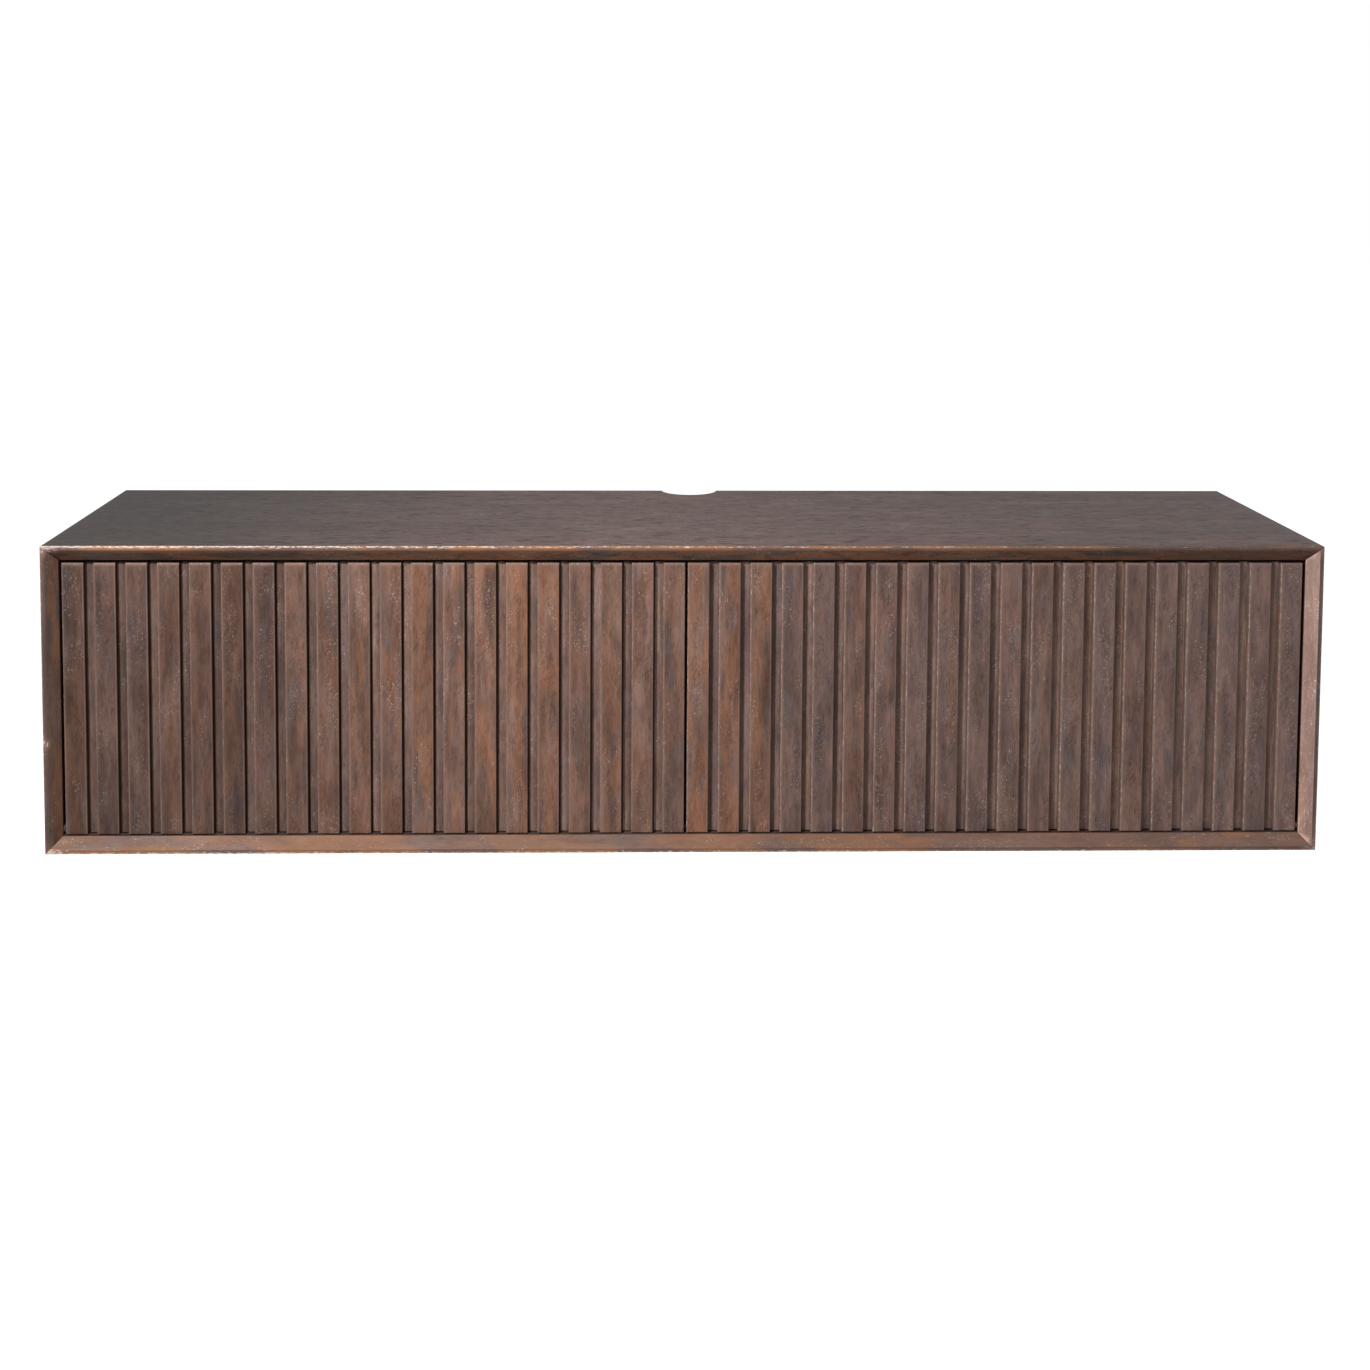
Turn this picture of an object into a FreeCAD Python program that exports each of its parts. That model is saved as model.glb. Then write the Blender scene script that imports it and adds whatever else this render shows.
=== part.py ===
import FreeCAD, Part
import math
import os

from FreeCAD import Vector

# Floating media console in dark stained mango wood, hung on a wall.
# X runs across the front, Y from the room (negative) to the wall plane (0), Z up.
# The origin lies on the wall plane, in the middle of the four wall bolts.

# ---- carcass ----
width = 1600.0            # outside, left to right
depth = 400.0             # wall plane to front edge
height = 390.0            # outside, bottom to top
panel = 20.0              # solid boards of the top, bottom, sides and divider
lip = 5.0                 # flat front edge outside the bevel
bevel_depth = 11.0        # how far back the bevel runs
outer_arris = 1.0         # softened outside edges
spline_thickness = 4.0    # loose tongues glued across each mitre
spline_width = 16.0
spline_stop = 40.0        # distance of each tongue's end from the front and rear edges
divider_housing = 6.0     # depth of the dado that holds the divider
divider_setback = 3.0     # divider's front edge behind the flaps

# ---- cable ways ----
notch_x = 20.0            # half-round notch in the rear edge of the top
notch_radius = 40.0
notch_centre_y = 3.0      # the hole saw's centre lies just behind the edge
cutout_radius = 40.0      # U-shaped cut-out of the back panel under the notch
cutout_drop = 70.0        # underside of the top down to the cut-out's lowest point
cable_hole_radius = 30.0  # one hole in the back of each compartment
divider_slot_radius = 25.0
divider_slot_reach = 60.0
divider_slot_z = 60.0

# ---- back ----
back_thickness = 6.0
back_recess = 20.0        # behind the back panel, filled by the hanging rails
back_groove = 8.0
back_play = 1.0           # plywood's room at the bottom of the groove
rail_height = 80.0
rail_notch_gap = 20.0     # between the notch and the ends of the upper rails

# ---- wall bolts ----
bolt_spacing_x = 1200.0
bolt_spacing_z = 270.0
bolt_hole_radius = 4.5

# ---- flaps ----
side_gap = 3.0
centre_gap = 3.5
top_gap = 3.75
bottom_gap = 1.5
slat_pitch = 39.4         # aimed at; the slats are evened out over the flap
groove_width = 12.4
slat_thickness = 9.0
board_thickness = 13.0
slat_arris = 1.0
slat_foot_arris = 2.0     # larger at the lower front edge, which dips as the flap opens

# ---- knife hinges ----
hinge_setback = 5.5       # pin behind the flap's front face
hinge_rise = 6.5          # pin above the flap's lower edge
hinge_pin_radius = 2.0
leaf_thickness = 2.5
leaf_width = 7.4
leaf_length = 40.0        # pin to the straight end
leaf_seat = 0.1           # play between a leaf and its mortise
washer_radius = 5.0
washer_play = 0.2         # each side of a thrust washer
pin_into_flap = 5.0       # beyond the leaf
pin_bore_play = 1.0       # wood is cleared round the pin's end
running_play = 0.06       # radial, pin in leaf
tongue_thickness = 2.5
tongue_length = 58.0      # pin to the rear end, in the divider
tongue_dowel_radius = 2.0

# ---- stays ----
stay_tail_room = 32.0     # shut bar's tail to the back panel
stay_lean_deg = 9.3       # bracket pin behind the vertical through the hinge pin, flap shut
stay_spread_deg = 20.0    # from the bracket pin on to the guide stud
flap_opening_deg = 90.0
bar_width = 12.0
bar_thickness = 3.0
bar_offset = 6.5          # bar's near face from the wall of the compartment
stop_length = 8.0
stop_overhang = 3.0
stop_play = 0.4
bracket_thickness = 2.5
bracket_play = 0.3
lug_margin = 1.0          # bracket's nose outside the bar's
bracket_foot_width = 24.0
bracket_foot_length = 44.0
bracket_pin_radius = 2.5
rivet_head_radius = 4.5
rivet_head_thickness = 1.4
base_thickness = 2.5
base_width = 18.0
base_length = 46.0
plate_corner = 3.0        # broken corners of the small plates
base_screw_inset = 8.0    # from the ends of a base plate or bracket foot
stud_radius = 3.0
stud_length = 3.2
stud_bore_play = 0.4      # bore in the guide stops this short of the bar's slot
guide_length = 20.0
guide_height = 20.0
guide_wall = 3.4          # each side of the slot
guide_corner = 2.0
guide_play = 0.2          # all round the bar
friction_screw_radius = 2.5
friction_head_radius = 6.0
friction_head_thickness = 3.5
driver_slot_width = 1.2
driver_slot_depth = 1.2

# ---- touch latches ----
latch_width = 16.0
latch_height = 20.0
latch_length = 60.0
latch_corner = 2.0
latch_bore_room = 1.0     # bore beyond the pressed plunger's rear end
latch_drop = 12.0         # plunger's axis below the underside of the top
latch_standoff = 8.0      # plunger out of its housing
plunger_radius = 4.5
plunger_length = 38.0
plunger_play = 0.1
plunger_travel = 4.0
magnet_radius = 4.0
magnet_thickness = 3.0
magnet_gap = 0.3
ear_width = 12.0
ear_length = 18.0
ear_thickness = 3.0
striker_width = 22.0
striker_height = 14.0
striker_thickness = 1.5
striker_screw_inset = 4.5

# ---- screws ----
screw_sides = 6           # screws and their holes are drawn six-sided
round_sides = 12          # small rounded ends and discs that nothing turns on
screw_shank = 1.8         # radii
screw_head = 3.6
screw_play = 0.1
leaf_screw_shank = 1.4    # narrow-headed, for the knife hinge leaves
leaf_screw_head = 2.8
leaf_screw_inset = 6.0    # from the leaf's straight end
leaf_screw_spacing = 16.0
panel_screw_length = 22.0
long_screw_length = 14.0
short_screw_length = 11.5
screw_end_room = 40.0     # first screw of a row from the end of its rail
rail_screw_spacing = 320.0

# ---- worked out from the above ----
inner_x = width / 2 - panel
inner_z = height / 2 - panel
back_face_y = -back_recess - back_thickness
flap_front_y = -depth + bevel_depth
board_front_y = flap_front_y + slat_thickness
flap_rear_y = board_front_y + board_thickness
divider_front_y = flap_rear_y + divider_setback
flap_bottom_z = -inner_z + bottom_gap
flap_top_z = inner_z - top_gap
flap_height = flap_top_z - flap_bottom_z
flap_width = inner_x - side_gap - centre_gap / 2
pin_y = flap_front_y + hinge_setback
pin_z = flap_bottom_z + hinge_rise
slat_count = round((flap_width + groove_width) / slat_pitch)
slat_width = (flap_width + groove_width) / slat_count - groove_width
compartment_x = (inner_x + panel / 2) / 2
guide_angle_deg = stay_lean_deg + stay_spread_deg
bar_tilt_deg = -stay_lean_deg - stay_spread_deg / 2
# Bracket pin and guide stud lie on one circle round the hinge pin, so the bar turns at half the
# flap's rate. The circle is as large as lets the shut bar clear the back panel.
tail_length = guide_length / 2 + stop_play + stop_length
open_chord_ratio = 2 * math.sin(math.radians(stay_spread_deg + flap_opening_deg) / 2)
bar_cosine = math.cos(math.radians(bar_tilt_deg))
stay_room = back_face_y - stay_tail_room - pin_y
stay_radius = (stay_room - tail_length * bar_cosine) / (
    math.sin(math.radians(stay_lean_deg)) + open_chord_ratio * bar_cosine)
bracket_pin_y = pin_y + stay_radius * math.sin(math.radians(stay_lean_deg))
bracket_pin_z = pin_z + stay_radius * math.cos(math.radians(stay_lean_deg))
guide_y = pin_y + stay_radius * math.sin(math.radians(guide_angle_deg))
guide_z = pin_z + stay_radius * math.cos(math.radians(guide_angle_deg))
bar_reach = stay_radius * open_chord_ratio + tail_length
latch_z = inner_z - latch_drop
upper_rail_z = inner_z - rail_height / 2

X = Vector(1, 0, 0)
Y = Vector(0, 1, 0)
Z = Vector(0, 0, 1)


def block(x0, x1, y0, y1, z0, z1):
    return Part.makeBox(x1 - x0, y1 - y0, z1 - z0, Vector(x0, y0, z0))


def rod(radius, length, start, axis):
    return Part.makeCylinder(radius, length, start, axis)


def plate_yz(outline, x0, x1):
    """A flat plate from its (y, z) corners, extruded from x0 to x1."""
    points = [Vector(x0, y, z) for y, z in outline]
    face = Part.Face(Part.makePolygon(points + points[:1]))
    return face.extrude(Vector(x1 - x0, 0, 0))


def mirrored(shape):
    """The same piece on the other side of the console."""
    return shape.mirror(Vector(0, 0, 0), X)


def edges_on(shape, test):
    return [edge for edge in shape.Edges if all(test(vertex.Point) for vertex in edge.Vertexes)]


def near(a, b):
    return abs(a - b) < 1e-4


def export(name, solids):
    shape = solids[0] if len(solids) == 1 else Part.makeCompound(solids)
    shape.exportStep("parts/" + name + ".step")


def flat_sided(rings):
    """Solid between two rings of points, closed by a flat face at each end."""
    foot, head = rings
    outlines = [foot, head]
    for i in range(len(foot)):
        outlines.append([foot[i - 1], foot[i], head[i], head[i - 1]])
    faces = [Part.Face(Part.makePolygon(points + points[:1])) for points in outlines]
    return Part.makeSolid(Part.makeShell(faces))


def ring(radius, centre, axis, sides):
    spoke = axis.cross(Vector(axis.z, axis.x, axis.y)).normalize() * radius
    turns = [FreeCAD.Rotation(axis, 360 * i / sides) for i in range(sides)]
    return [centre + turn.multVec(spoke) for turn in turns]


def prism(radius, length, start, axis, sides):
    return flat_sided([ring(radius, start, axis, sides), ring(radius, start + axis * length, axis, sides)])


# ---- screws ----
def countersunk(head, shank, length, point, axis):
    """Screw with flat sides, or the hole it needs."""
    neck = point + axis * (head - shank)
    cone = flat_sided([ring(head, point, axis, screw_sides), ring(shank, neck, axis, screw_sides)])
    stem = prism(shank, length - head + shank, neck, axis, screw_sides)
    return cone.fuse(stem).removeSplitter()


def screw(point, axis, length, play=0.0):
    """Wood screw: the face of its head is at point and it drives along axis."""
    return countersunk(screw_head + play, screw_shank + play, length + play, point, axis)


def leaf_screw(point, axis, play=0.0):
    length = short_screw_length + play
    return countersunk(leaf_screw_head + play, leaf_screw_shank + play, length, point, axis)


def spread(start, end, spacing):
    count = max(2, round((end - start) / spacing) + 1)
    return [start + (end - start) * i / (count - 1) for i in range(count)]


# ---- carcass boards ----
def mitre_spline(half_length):
    """Loose tongue across the mitre at the +X end of a board whose outer face is at z = 0."""
    run = depth - 2 * spline_stop
    tongue = Part.makeBox(spline_width, run, spline_thickness)
    tongue.translate(Vector(-spline_width / 2, spline_stop - depth, -spline_thickness / 2))
    tongue.rotate(Vector(0, 0, 0), Y, 45)
    tongue.translate(Vector(half_length - panel / 2, 0, -panel / 2))
    return tongue


def mitred_board(half_length):
    """Board along X with its outer face at z = 0: bevelled front edge, mitred ends, rear groove."""
    profile = [
        Vector(-half_length, -depth, 0),
        Vector(-half_length, 0, 0),
        Vector(-half_length, 0, -panel),
        Vector(-half_length, bevel_depth - depth, -panel),
        Vector(-half_length, -depth, -lip),
    ]
    board = Part.Face(Part.makePolygon(profile + profile[:1])).extrude(Vector(2 * half_length, 0, 0))
    wedge = Part.Face(Part.makePolygon([
        Vector(half_length, -depth, 0),
        Vector(half_length, -depth, -panel),
        Vector(half_length - panel, -depth, -panel),
        Vector(half_length, -depth, 0),
    ])).extrude(Vector(0, depth, 0))
    reach = half_length - panel + back_groove
    groove = block(-reach, reach, back_face_y, -back_recess, -panel, back_groove - panel)
    spline = mitre_spline(half_length)
    board = board.cut([wedge, mirrored(wedge), groove, spline, mirrored(spline)])
    front = edges_on(board, lambda p: near(p.z, 0) and near(p.y, -depth))
    return board.makeFillet(outer_arris, front)


def placed(shape, turn_deg, offset):
    copy = shape.copy()
    copy.rotate(Vector(0, 0, 0), Y, turn_deg)
    copy.translate(offset)
    return copy


def divider_blank(play=0.0):
    half = panel / 2 + play
    top = inner_z + divider_housing
    return block(-half, half, divider_front_y, back_face_y, -top, top)


def cable_notch():
    start = Vector(notch_x, notch_centre_y, inner_z - 1)
    return rod(notch_radius, panel + 2, start, Z)


def top_panel():
    board = placed(mitred_board(width / 2), 0, Vector(0, 0, height / 2))
    board = board.cut([divider_blank(), cable_notch()])
    return board.cut(latch_screws(screw_play))


def bottom_panel():
    board = placed(mitred_board(width / 2), 180, Vector(0, 0, -height / 2))
    return board.cut(divider_blank())


def side_panel_left():
    board = placed(mitred_board(height / 2), -90, Vector(-width / 2, 0, 0))
    tools = [leaf_mortise(-inner_x, -1)]
    tools += carcass_leaf_screws(screw_play)
    tools += base_screws(-inner_x, 1, long_screw_length, screw_play)
    return board.cut(tools)


def mitre_splines():
    right = mitre_spline(width / 2)
    upper = [placed(right, 0, Vector(0, 0, height / 2))]
    upper.append(mirrored(upper[0]))
    lower = [placed(right, 180, Vector(0, 0, -height / 2))]
    lower.append(mirrored(lower[0]))
    return upper + lower


def centre_divider():
    divider = divider_blank()
    slot_end = back_face_y - divider_slot_reach + divider_slot_radius
    half = panel / 2 + 1
    slot = rod(divider_slot_radius, 2 * half, Vector(-half, slot_end, divider_slot_z), X)
    mouth = block(-half, half, slot_end, back_face_y + 1,
                  divider_slot_z - divider_slot_radius, divider_slot_z + divider_slot_radius)
    tools = [slot.fuse(mouth), tongue_blank()]
    tools += tongue_dowels()
    tools += base_screws(-panel / 2, -1, short_screw_length, screw_play)
    tools += base_screws(panel / 2, 1, short_screw_length, screw_play)
    return divider.cut(tools)


# ---- back panel and hanging rails ----
def bolt_holes():
    run = back_recess + back_thickness + 2
    holes = []
    for sx in (-1, 1):
        for sz in (-1, 1):
            start = Vector(sx * bolt_spacing_x / 2, back_face_y - 1, sz * bolt_spacing_z / 2)
            holes.append(rod(bolt_hole_radius, run, start, Y))
    return holes


def upper_rail_ends():
    """X of both ends of the left and the right upper rail."""
    left_end = notch_x - notch_radius - rail_notch_gap
    right_end = notch_x + notch_radius + rail_notch_gap
    return (-inner_x, left_end), (right_end, inner_x)


def rail_screw_points():
    points = []
    for start, end in upper_rail_ends():
        for x in spread(start + screw_end_room, end - screw_end_room, rail_screw_spacing):
            points.append((x, upper_rail_z))
    for x in spread(-inner_x + screw_end_room, -screw_end_room, rail_screw_spacing):
        points.append((x, -upper_rail_z))
        points.append((-x, -upper_rail_z))
    return points


def back_panel_screws(play=0.0):
    length = panel_screw_length
    return [screw(Vector(x, back_face_y, z), Y, length, play) for x, z in rail_screw_points()]


def back_panel():
    reach_x = inner_x + back_groove - back_play
    reach_z = inner_z + back_groove - back_play
    sheet = block(-reach_x, reach_x, back_face_y, -back_recess, -reach_z, reach_z)
    run = back_thickness + 2
    start_y = back_face_y - 1
    cutout_z = inner_z - cutout_drop + cutout_radius
    cutout = rod(cutout_radius, run, Vector(notch_x, start_y, cutout_z), Y)
    mouth = block(notch_x - cutout_radius, notch_x + cutout_radius, start_y, start_y + run,
                  cutout_z, reach_z + 1)
    holes = [cutout.fuse(mouth)]
    for sx in (-1, 1):
        holes.append(rod(cable_hole_radius, run, Vector(sx * compartment_x, start_y, 0), Y))
    return sheet.cut(holes + bolt_holes() + back_panel_screws(screw_play))


def hanging_rail(x0, x1, middle_z):
    rail = block(x0, x1, -back_recess, 0, middle_z - rail_height / 2, middle_z + rail_height / 2)
    return rail.cut(bolt_holes() + back_panel_screws(screw_play))


# ---- knife hinges ----
def leaf_outline(thickness, grow=0.0):
    """Round-nosed leaf about the pin, in the YZ plane, from x = 0 to thickness."""
    half = leaf_width / 2 + grow
    nose = prism(half, thickness, Vector(0, pin_y, pin_z), X, round_sides)
    strap = block(0, thickness, pin_y - half, pin_y + half, pin_z, pin_z + leaf_length + grow)
    return nose.fuse(strap).removeSplitter()


def leaf_mortise(face_x, side):
    """Pocket in the wall whose surface is at face_x; side is -1 where the wood lies towards -X."""
    pocket = leaf_outline(leaf_thickness + leaf_seat, leaf_seat)
    if side < 0:
        pocket.translate(Vector(face_x - leaf_thickness - leaf_seat, 0, 0))
    else:
        pocket.translate(Vector(face_x, 0, 0))
    return pocket


def leaf_screw_heights():
    upper = pin_z + leaf_length - leaf_screw_inset
    return upper - leaf_screw_spacing, upper


def carcass_leaf_screws(play=0.0):
    """Two screws through the left wall's leaf, heads flush with the leaf."""
    return [leaf_screw(Vector(-inner_x, pin_y, z), X * -1, play) for z in leaf_screw_heights()]


def carcass_leaf():
    """Left wall's leaf with its riveted pin, which runs through the washer into the flap."""
    leaf = leaf_outline(leaf_thickness)
    leaf.translate(Vector(-inner_x - leaf_thickness, 0, 0))
    leaf = leaf.cut(carcass_leaf_screws(screw_play))
    run = leaf_thickness + side_gap + leaf_thickness + pin_into_flap
    pin = rod(hinge_pin_radius, run, Vector(-inner_x - leaf_thickness, pin_y, pin_z), X)
    return leaf.fuse(pin).removeSplitter()


def tongue_blank():
    half = leaf_width / 2
    start = Vector(-tongue_thickness / 2, pin_y, pin_z)
    nose = prism(half, tongue_thickness, start, X, round_sides)
    strap = block(-tongue_thickness / 2, tongue_thickness / 2, pin_y, pin_y + tongue_length,
                  pin_z - half, pin_z + half)
    return nose.fuse(strap).removeSplitter()


def tongue_dowels():
    """Two steel dowels that pin the tongue across the divider, flush with its faces."""
    first_y = divider_front_y + panel / 2
    last_y = pin_y + tongue_length - leaf_width
    start = [Vector(-panel / 2, y, pin_z) for y in (first_y, last_y)]
    return [prism(tongue_dowel_radius, panel, point, X, screw_sides) for point in start]


def centre_hinge_tongue():
    reach = centre_gap / 2 + leaf_thickness + pin_into_flap
    pin = rod(hinge_pin_radius, 2 * reach, Vector(-reach, pin_y, pin_z), X)
    return tongue_blank().cut(tongue_dowels()).fuse(pin).removeSplitter()


# ---- left flap (the right one is its mirror image) ----
flap_outer_x = -inner_x + side_gap
flap_inner_x = -centre_gap / 2


def flap_leaf_screws(play=0.0):
    screws = []
    for face_x, axis in ((flap_outer_x, X), (flap_inner_x, X * -1)):
        for z in leaf_screw_heights():
            screws.append(leaf_screw(Vector(face_x, pin_y, z), axis, play))
    return screws


def flap_leaves():
    """A leaf let into each end of the flap, bored for the pin."""
    leaves = []
    for start_x in (flap_outer_x, flap_inner_x - leaf_thickness):
        leaf = leaf_outline(leaf_thickness)
        leaf.translate(Vector(start_x, 0, 0))
        bore = rod(hinge_pin_radius + running_play, leaf_thickness + 2,
                   Vector(start_x - 1, pin_y, pin_z), X)
        leaves.append(leaf.cut([bore] + flap_leaf_screws(screw_play)))
    return leaves


def flap_hinge_pockets():
    """Mortises for both leaves, and room in the wood for the pins' ends."""
    run = leaf_thickness + pin_into_flap + pin_bore_play
    bore = hinge_pin_radius + pin_bore_play
    return [
        leaf_mortise(flap_outer_x, 1),
        leaf_mortise(flap_inner_x, -1),
        rod(bore, run, Vector(flap_outer_x, pin_y, pin_z), X),
        rod(bore, run, Vector(flap_inner_x - run, pin_y, pin_z), X),
    ]


def thrust_washer():
    x0 = -inner_x + washer_play
    run = side_gap - 2 * washer_play
    disc = prism(washer_radius, run, Vector(x0, pin_y, pin_z), X, round_sides)
    return disc.cut(rod(hinge_pin_radius + running_play, run, Vector(x0, pin_y, pin_z), X))


def slat_blank():
    """One slat at x = 0: broken long arrises, and a larger one along its foot."""
    slat = block(0, slat_width, flap_front_y, board_front_y, flap_bottom_z, flap_top_z)
    front = edges_on(slat, lambda p: near(p.y, flap_front_y))
    slat = slat.makeChamfer(slat_arris, [edge for edge in front if near(edge.BoundBox.ZLength, flap_height)])
    foot = edges_on(slat, lambda p: near(p.y, flap_front_y) and near(p.z, flap_bottom_z))
    return slat.makeChamfer(slat_foot_arris, foot)


def flap_slats():
    blank = slat_blank()
    slats = []
    for i in range(slat_count):
        slat = blank.copy()
        slat.translate(Vector(flap_outer_x + i * (slat_width + groove_width), 0, 0))
        slats.append(slat)
    tools = flap_hinge_pockets() + flap_leaf_screws(screw_play)
    slats[0] = slats[0].cut(tools)
    slats[-1] = slats[-1].cut(tools)
    return slats


def flap_board():
    board = block(flap_outer_x, flap_inner_x, board_front_y, flap_rear_y, flap_bottom_z, flap_top_z)
    tools = flap_hinge_pockets() + flap_leaf_screws(screw_play)
    tools += bracket_screws(screw_play) + striker_screws(screw_play)
    return board.cut(tools)


# ---- sliding-bar stays of the left flap ----
# t is the distance from the wall that carries the guide, towards the middle of the compartment.
bar_far = bar_offset + bar_thickness
stay_walls = ((-inner_x, 1), (-panel / 2, -1))


def at_wall(shape, wall_x, side):
    """Moves a piece drawn with t along +X to a wall; side is -1 where t runs towards -X."""
    piece = shape.copy() if side > 0 else mirrored(shape)
    piece.translate(Vector(wall_x, 0, 0))
    return piece


def tilted(shape, centre_y, centre_z):
    """Turns a piece drawn along +Y about its pin to the bar's slope with the flap shut."""
    copy = shape.copy()
    copy.translate(Vector(0, centre_y, centre_z))
    copy.rotate(Vector(0, centre_y, centre_z), X, bar_tilt_deg)
    return copy


def stay_bar():
    """Flat bar with a round nose at the bracket pin, drawn along +Y."""
    half = bar_width / 2
    nose = prism(half, bar_thickness, Vector(bar_offset, 0, 0), X, round_sides)
    strap = block(bar_offset, bar_far, 0, bar_reach, -half, half)
    bore = rod(bracket_pin_radius + running_play, bar_thickness + 2, Vector(bar_offset - 1, 0, 0), X)
    return tilted(nose.fuse(strap).cut(bore).removeSplitter(), bracket_pin_y, bracket_pin_z)


def stay_stop():
    """Nylon end stop pressed over the bar's tail."""
    half = bar_width / 2
    stop = block(bar_offset - stop_overhang, bar_far + stop_overhang,
                 bar_reach - stop_length, bar_reach,
                 -half - stop_overhang, half + stop_overhang)
    slot = block(bar_offset, bar_far, bar_reach - stop_length, bar_reach, -half, half)
    return tilted(stop.cut(slot), bracket_pin_y, bracket_pin_z)


def stay_guide():
    """Swivelling guide: the bar slides through its slot, the stud enters its near wall."""
    near_t = bar_offset - guide_play - guide_wall
    far_t = bar_far + guide_play + guide_wall
    half_y = guide_length / 2
    half_z = guide_height / 2
    slot_z = bar_width / 2 + guide_play
    body = block(near_t, far_t, -half_y, half_y, -half_z, half_z)
    body = body.makeChamfer(guide_corner, [e for e in body.Edges if e.BoundBox.XLength > guide_wall])
    slot = block(bar_offset - guide_play, bar_far + guide_play, -half_y - 1, half_y + 1, -slot_z, slot_z)
    stud_bore = rod(stud_radius + running_play, guide_wall, Vector(near_t - stud_bore_play, 0, 0), X)
    return tilted(body.cut([slot, stud_bore, friction_screw_shank()]), guide_y, guide_z)


def friction_screw_shank():
    start = Vector(bar_far + guide_play, 0, 0)
    return prism(friction_screw_radius, guide_wall, start, X, screw_sides)


def friction_screw():
    """Thumb screw that presses a pad on the bar, with a driver slot in its head."""
    far_t = bar_far + guide_play + guide_wall
    head = prism(friction_head_radius, friction_head_thickness, Vector(far_t, 0, 0), X, round_sides)
    top_t = far_t + friction_head_thickness
    half = driver_slot_width / 2
    slot = block(top_t - driver_slot_depth, top_t, -friction_head_radius, friction_head_radius, -half, half)
    return tilted(friction_screw_shank().fuse(head).cut(slot), guide_y, guide_z)


def stay_base():
    """Plate on the wall with the guide's stud."""
    half_y = base_width / 2
    half_z = base_length / 2
    plate = block(0, base_thickness, guide_y - half_y, guide_y + half_y, guide_z - half_z, guide_z + half_z)
    corners = [edge for edge in plate.Edges if near(edge.BoundBox.XLength, base_thickness)]
    plate = plate.makeChamfer(plate_corner, corners)
    stud = rod(stud_radius, base_thickness + stud_length, Vector(0, guide_y, guide_z), X)
    return plate.fuse(stud).removeSplitter()


def base_screw_offsets():
    reach = base_length / 2 - base_screw_inset
    return -reach, reach


def base_screws(wall_x, side, length, play=0.0):
    """The screws run from the plate's face back into the wall."""
    face_x = wall_x + side * base_thickness
    axis = X * -side
    return [screw(Vector(face_x, guide_y, guide_z + dz), axis, length, play) for dz in base_screw_offsets()]


def stay_bases_left():
    bases = []
    for wall_x, side in stay_walls:
        tools = base_screws(wall_x, side, long_screw_length, screw_play)
        bases.append(at_wall(stay_base(), wall_x, side).cut(tools))
    return bases


def bracket_lug_t():
    return bar_far + bracket_play


def stay_bracket():
    """Angle bracket on the flap's rear face with the riveted pin that carries the bar."""
    lug_near = bracket_lug_t()
    lug_far = lug_near + bracket_thickness
    half_foot = bracket_foot_length / 2
    lug_radius = bar_width / 2 + lug_margin
    foot = block(lug_near, lug_far + bracket_foot_width, flap_rear_y, flap_rear_y + bracket_thickness,
                 bracket_pin_z - half_foot, bracket_pin_z + half_foot)
    nose_start = Vector(lug_near, bracket_pin_y, bracket_pin_z)
    nose = prism(lug_radius, bracket_thickness, nose_start, X, round_sides)
    lug = plate_yz([
        (flap_rear_y, bracket_pin_z - half_foot),
        (bracket_pin_y, bracket_pin_z - lug_radius),
        (bracket_pin_y, bracket_pin_z + lug_radius),
        (flap_rear_y, bracket_pin_z + half_foot),
    ], lug_near, lug_far)
    head_t = bar_offset - bracket_play - rivet_head_thickness
    head_centre = Vector(head_t, bracket_pin_y, bracket_pin_z)
    pin = rod(bracket_pin_radius, lug_far - head_t, head_centre, X)
    head = prism(rivet_head_radius, rivet_head_thickness, head_centre, X, round_sides)
    return foot.fuse([nose, lug, pin, head]).removeSplitter()


def bracket_screws(play=0.0):
    screws = []
    lug_far = bracket_lug_t() + bracket_thickness
    reach = bracket_foot_length / 2 - base_screw_inset
    face_y = flap_rear_y + bracket_thickness
    for wall_x, side in stay_walls:
        x = wall_x + side * (lug_far + bracket_foot_width / 2)
        for dz in (-reach, reach):
            point = Vector(x, face_y, bracket_pin_z + dz)
            screws.append(screw(point, Y * -1, short_screw_length, play))
    return screws


def flap_stay_brackets():
    tools = bracket_screws(screw_play)
    return [at_wall(stay_bracket(), x, side).cut(tools) for x, side in stay_walls]


def both_walls(piece):
    return [at_wall(piece, wall_x, side) for wall_x, side in stay_walls]


# ---- touch latch of the left flap ----
striker_face_y = flap_rear_y + striker_thickness
plunger_tip_y = striker_face_y + magnet_gap
housing_front_y = plunger_tip_y + latch_standoff


def latch_screws_left(play=0.0):
    screws = []
    for side in (-1, 1):
        x = -compartment_x + side * (latch_width + ear_width) / 2
        point = Vector(x, housing_front_y + latch_length / 2, inner_z - ear_thickness)
        screws.append(screw(point, Z, short_screw_length, play))
    return screws


def latch_screws(play=0.0):
    left = latch_screws_left(play)
    return left + [mirrored(item) for item in left]


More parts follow.
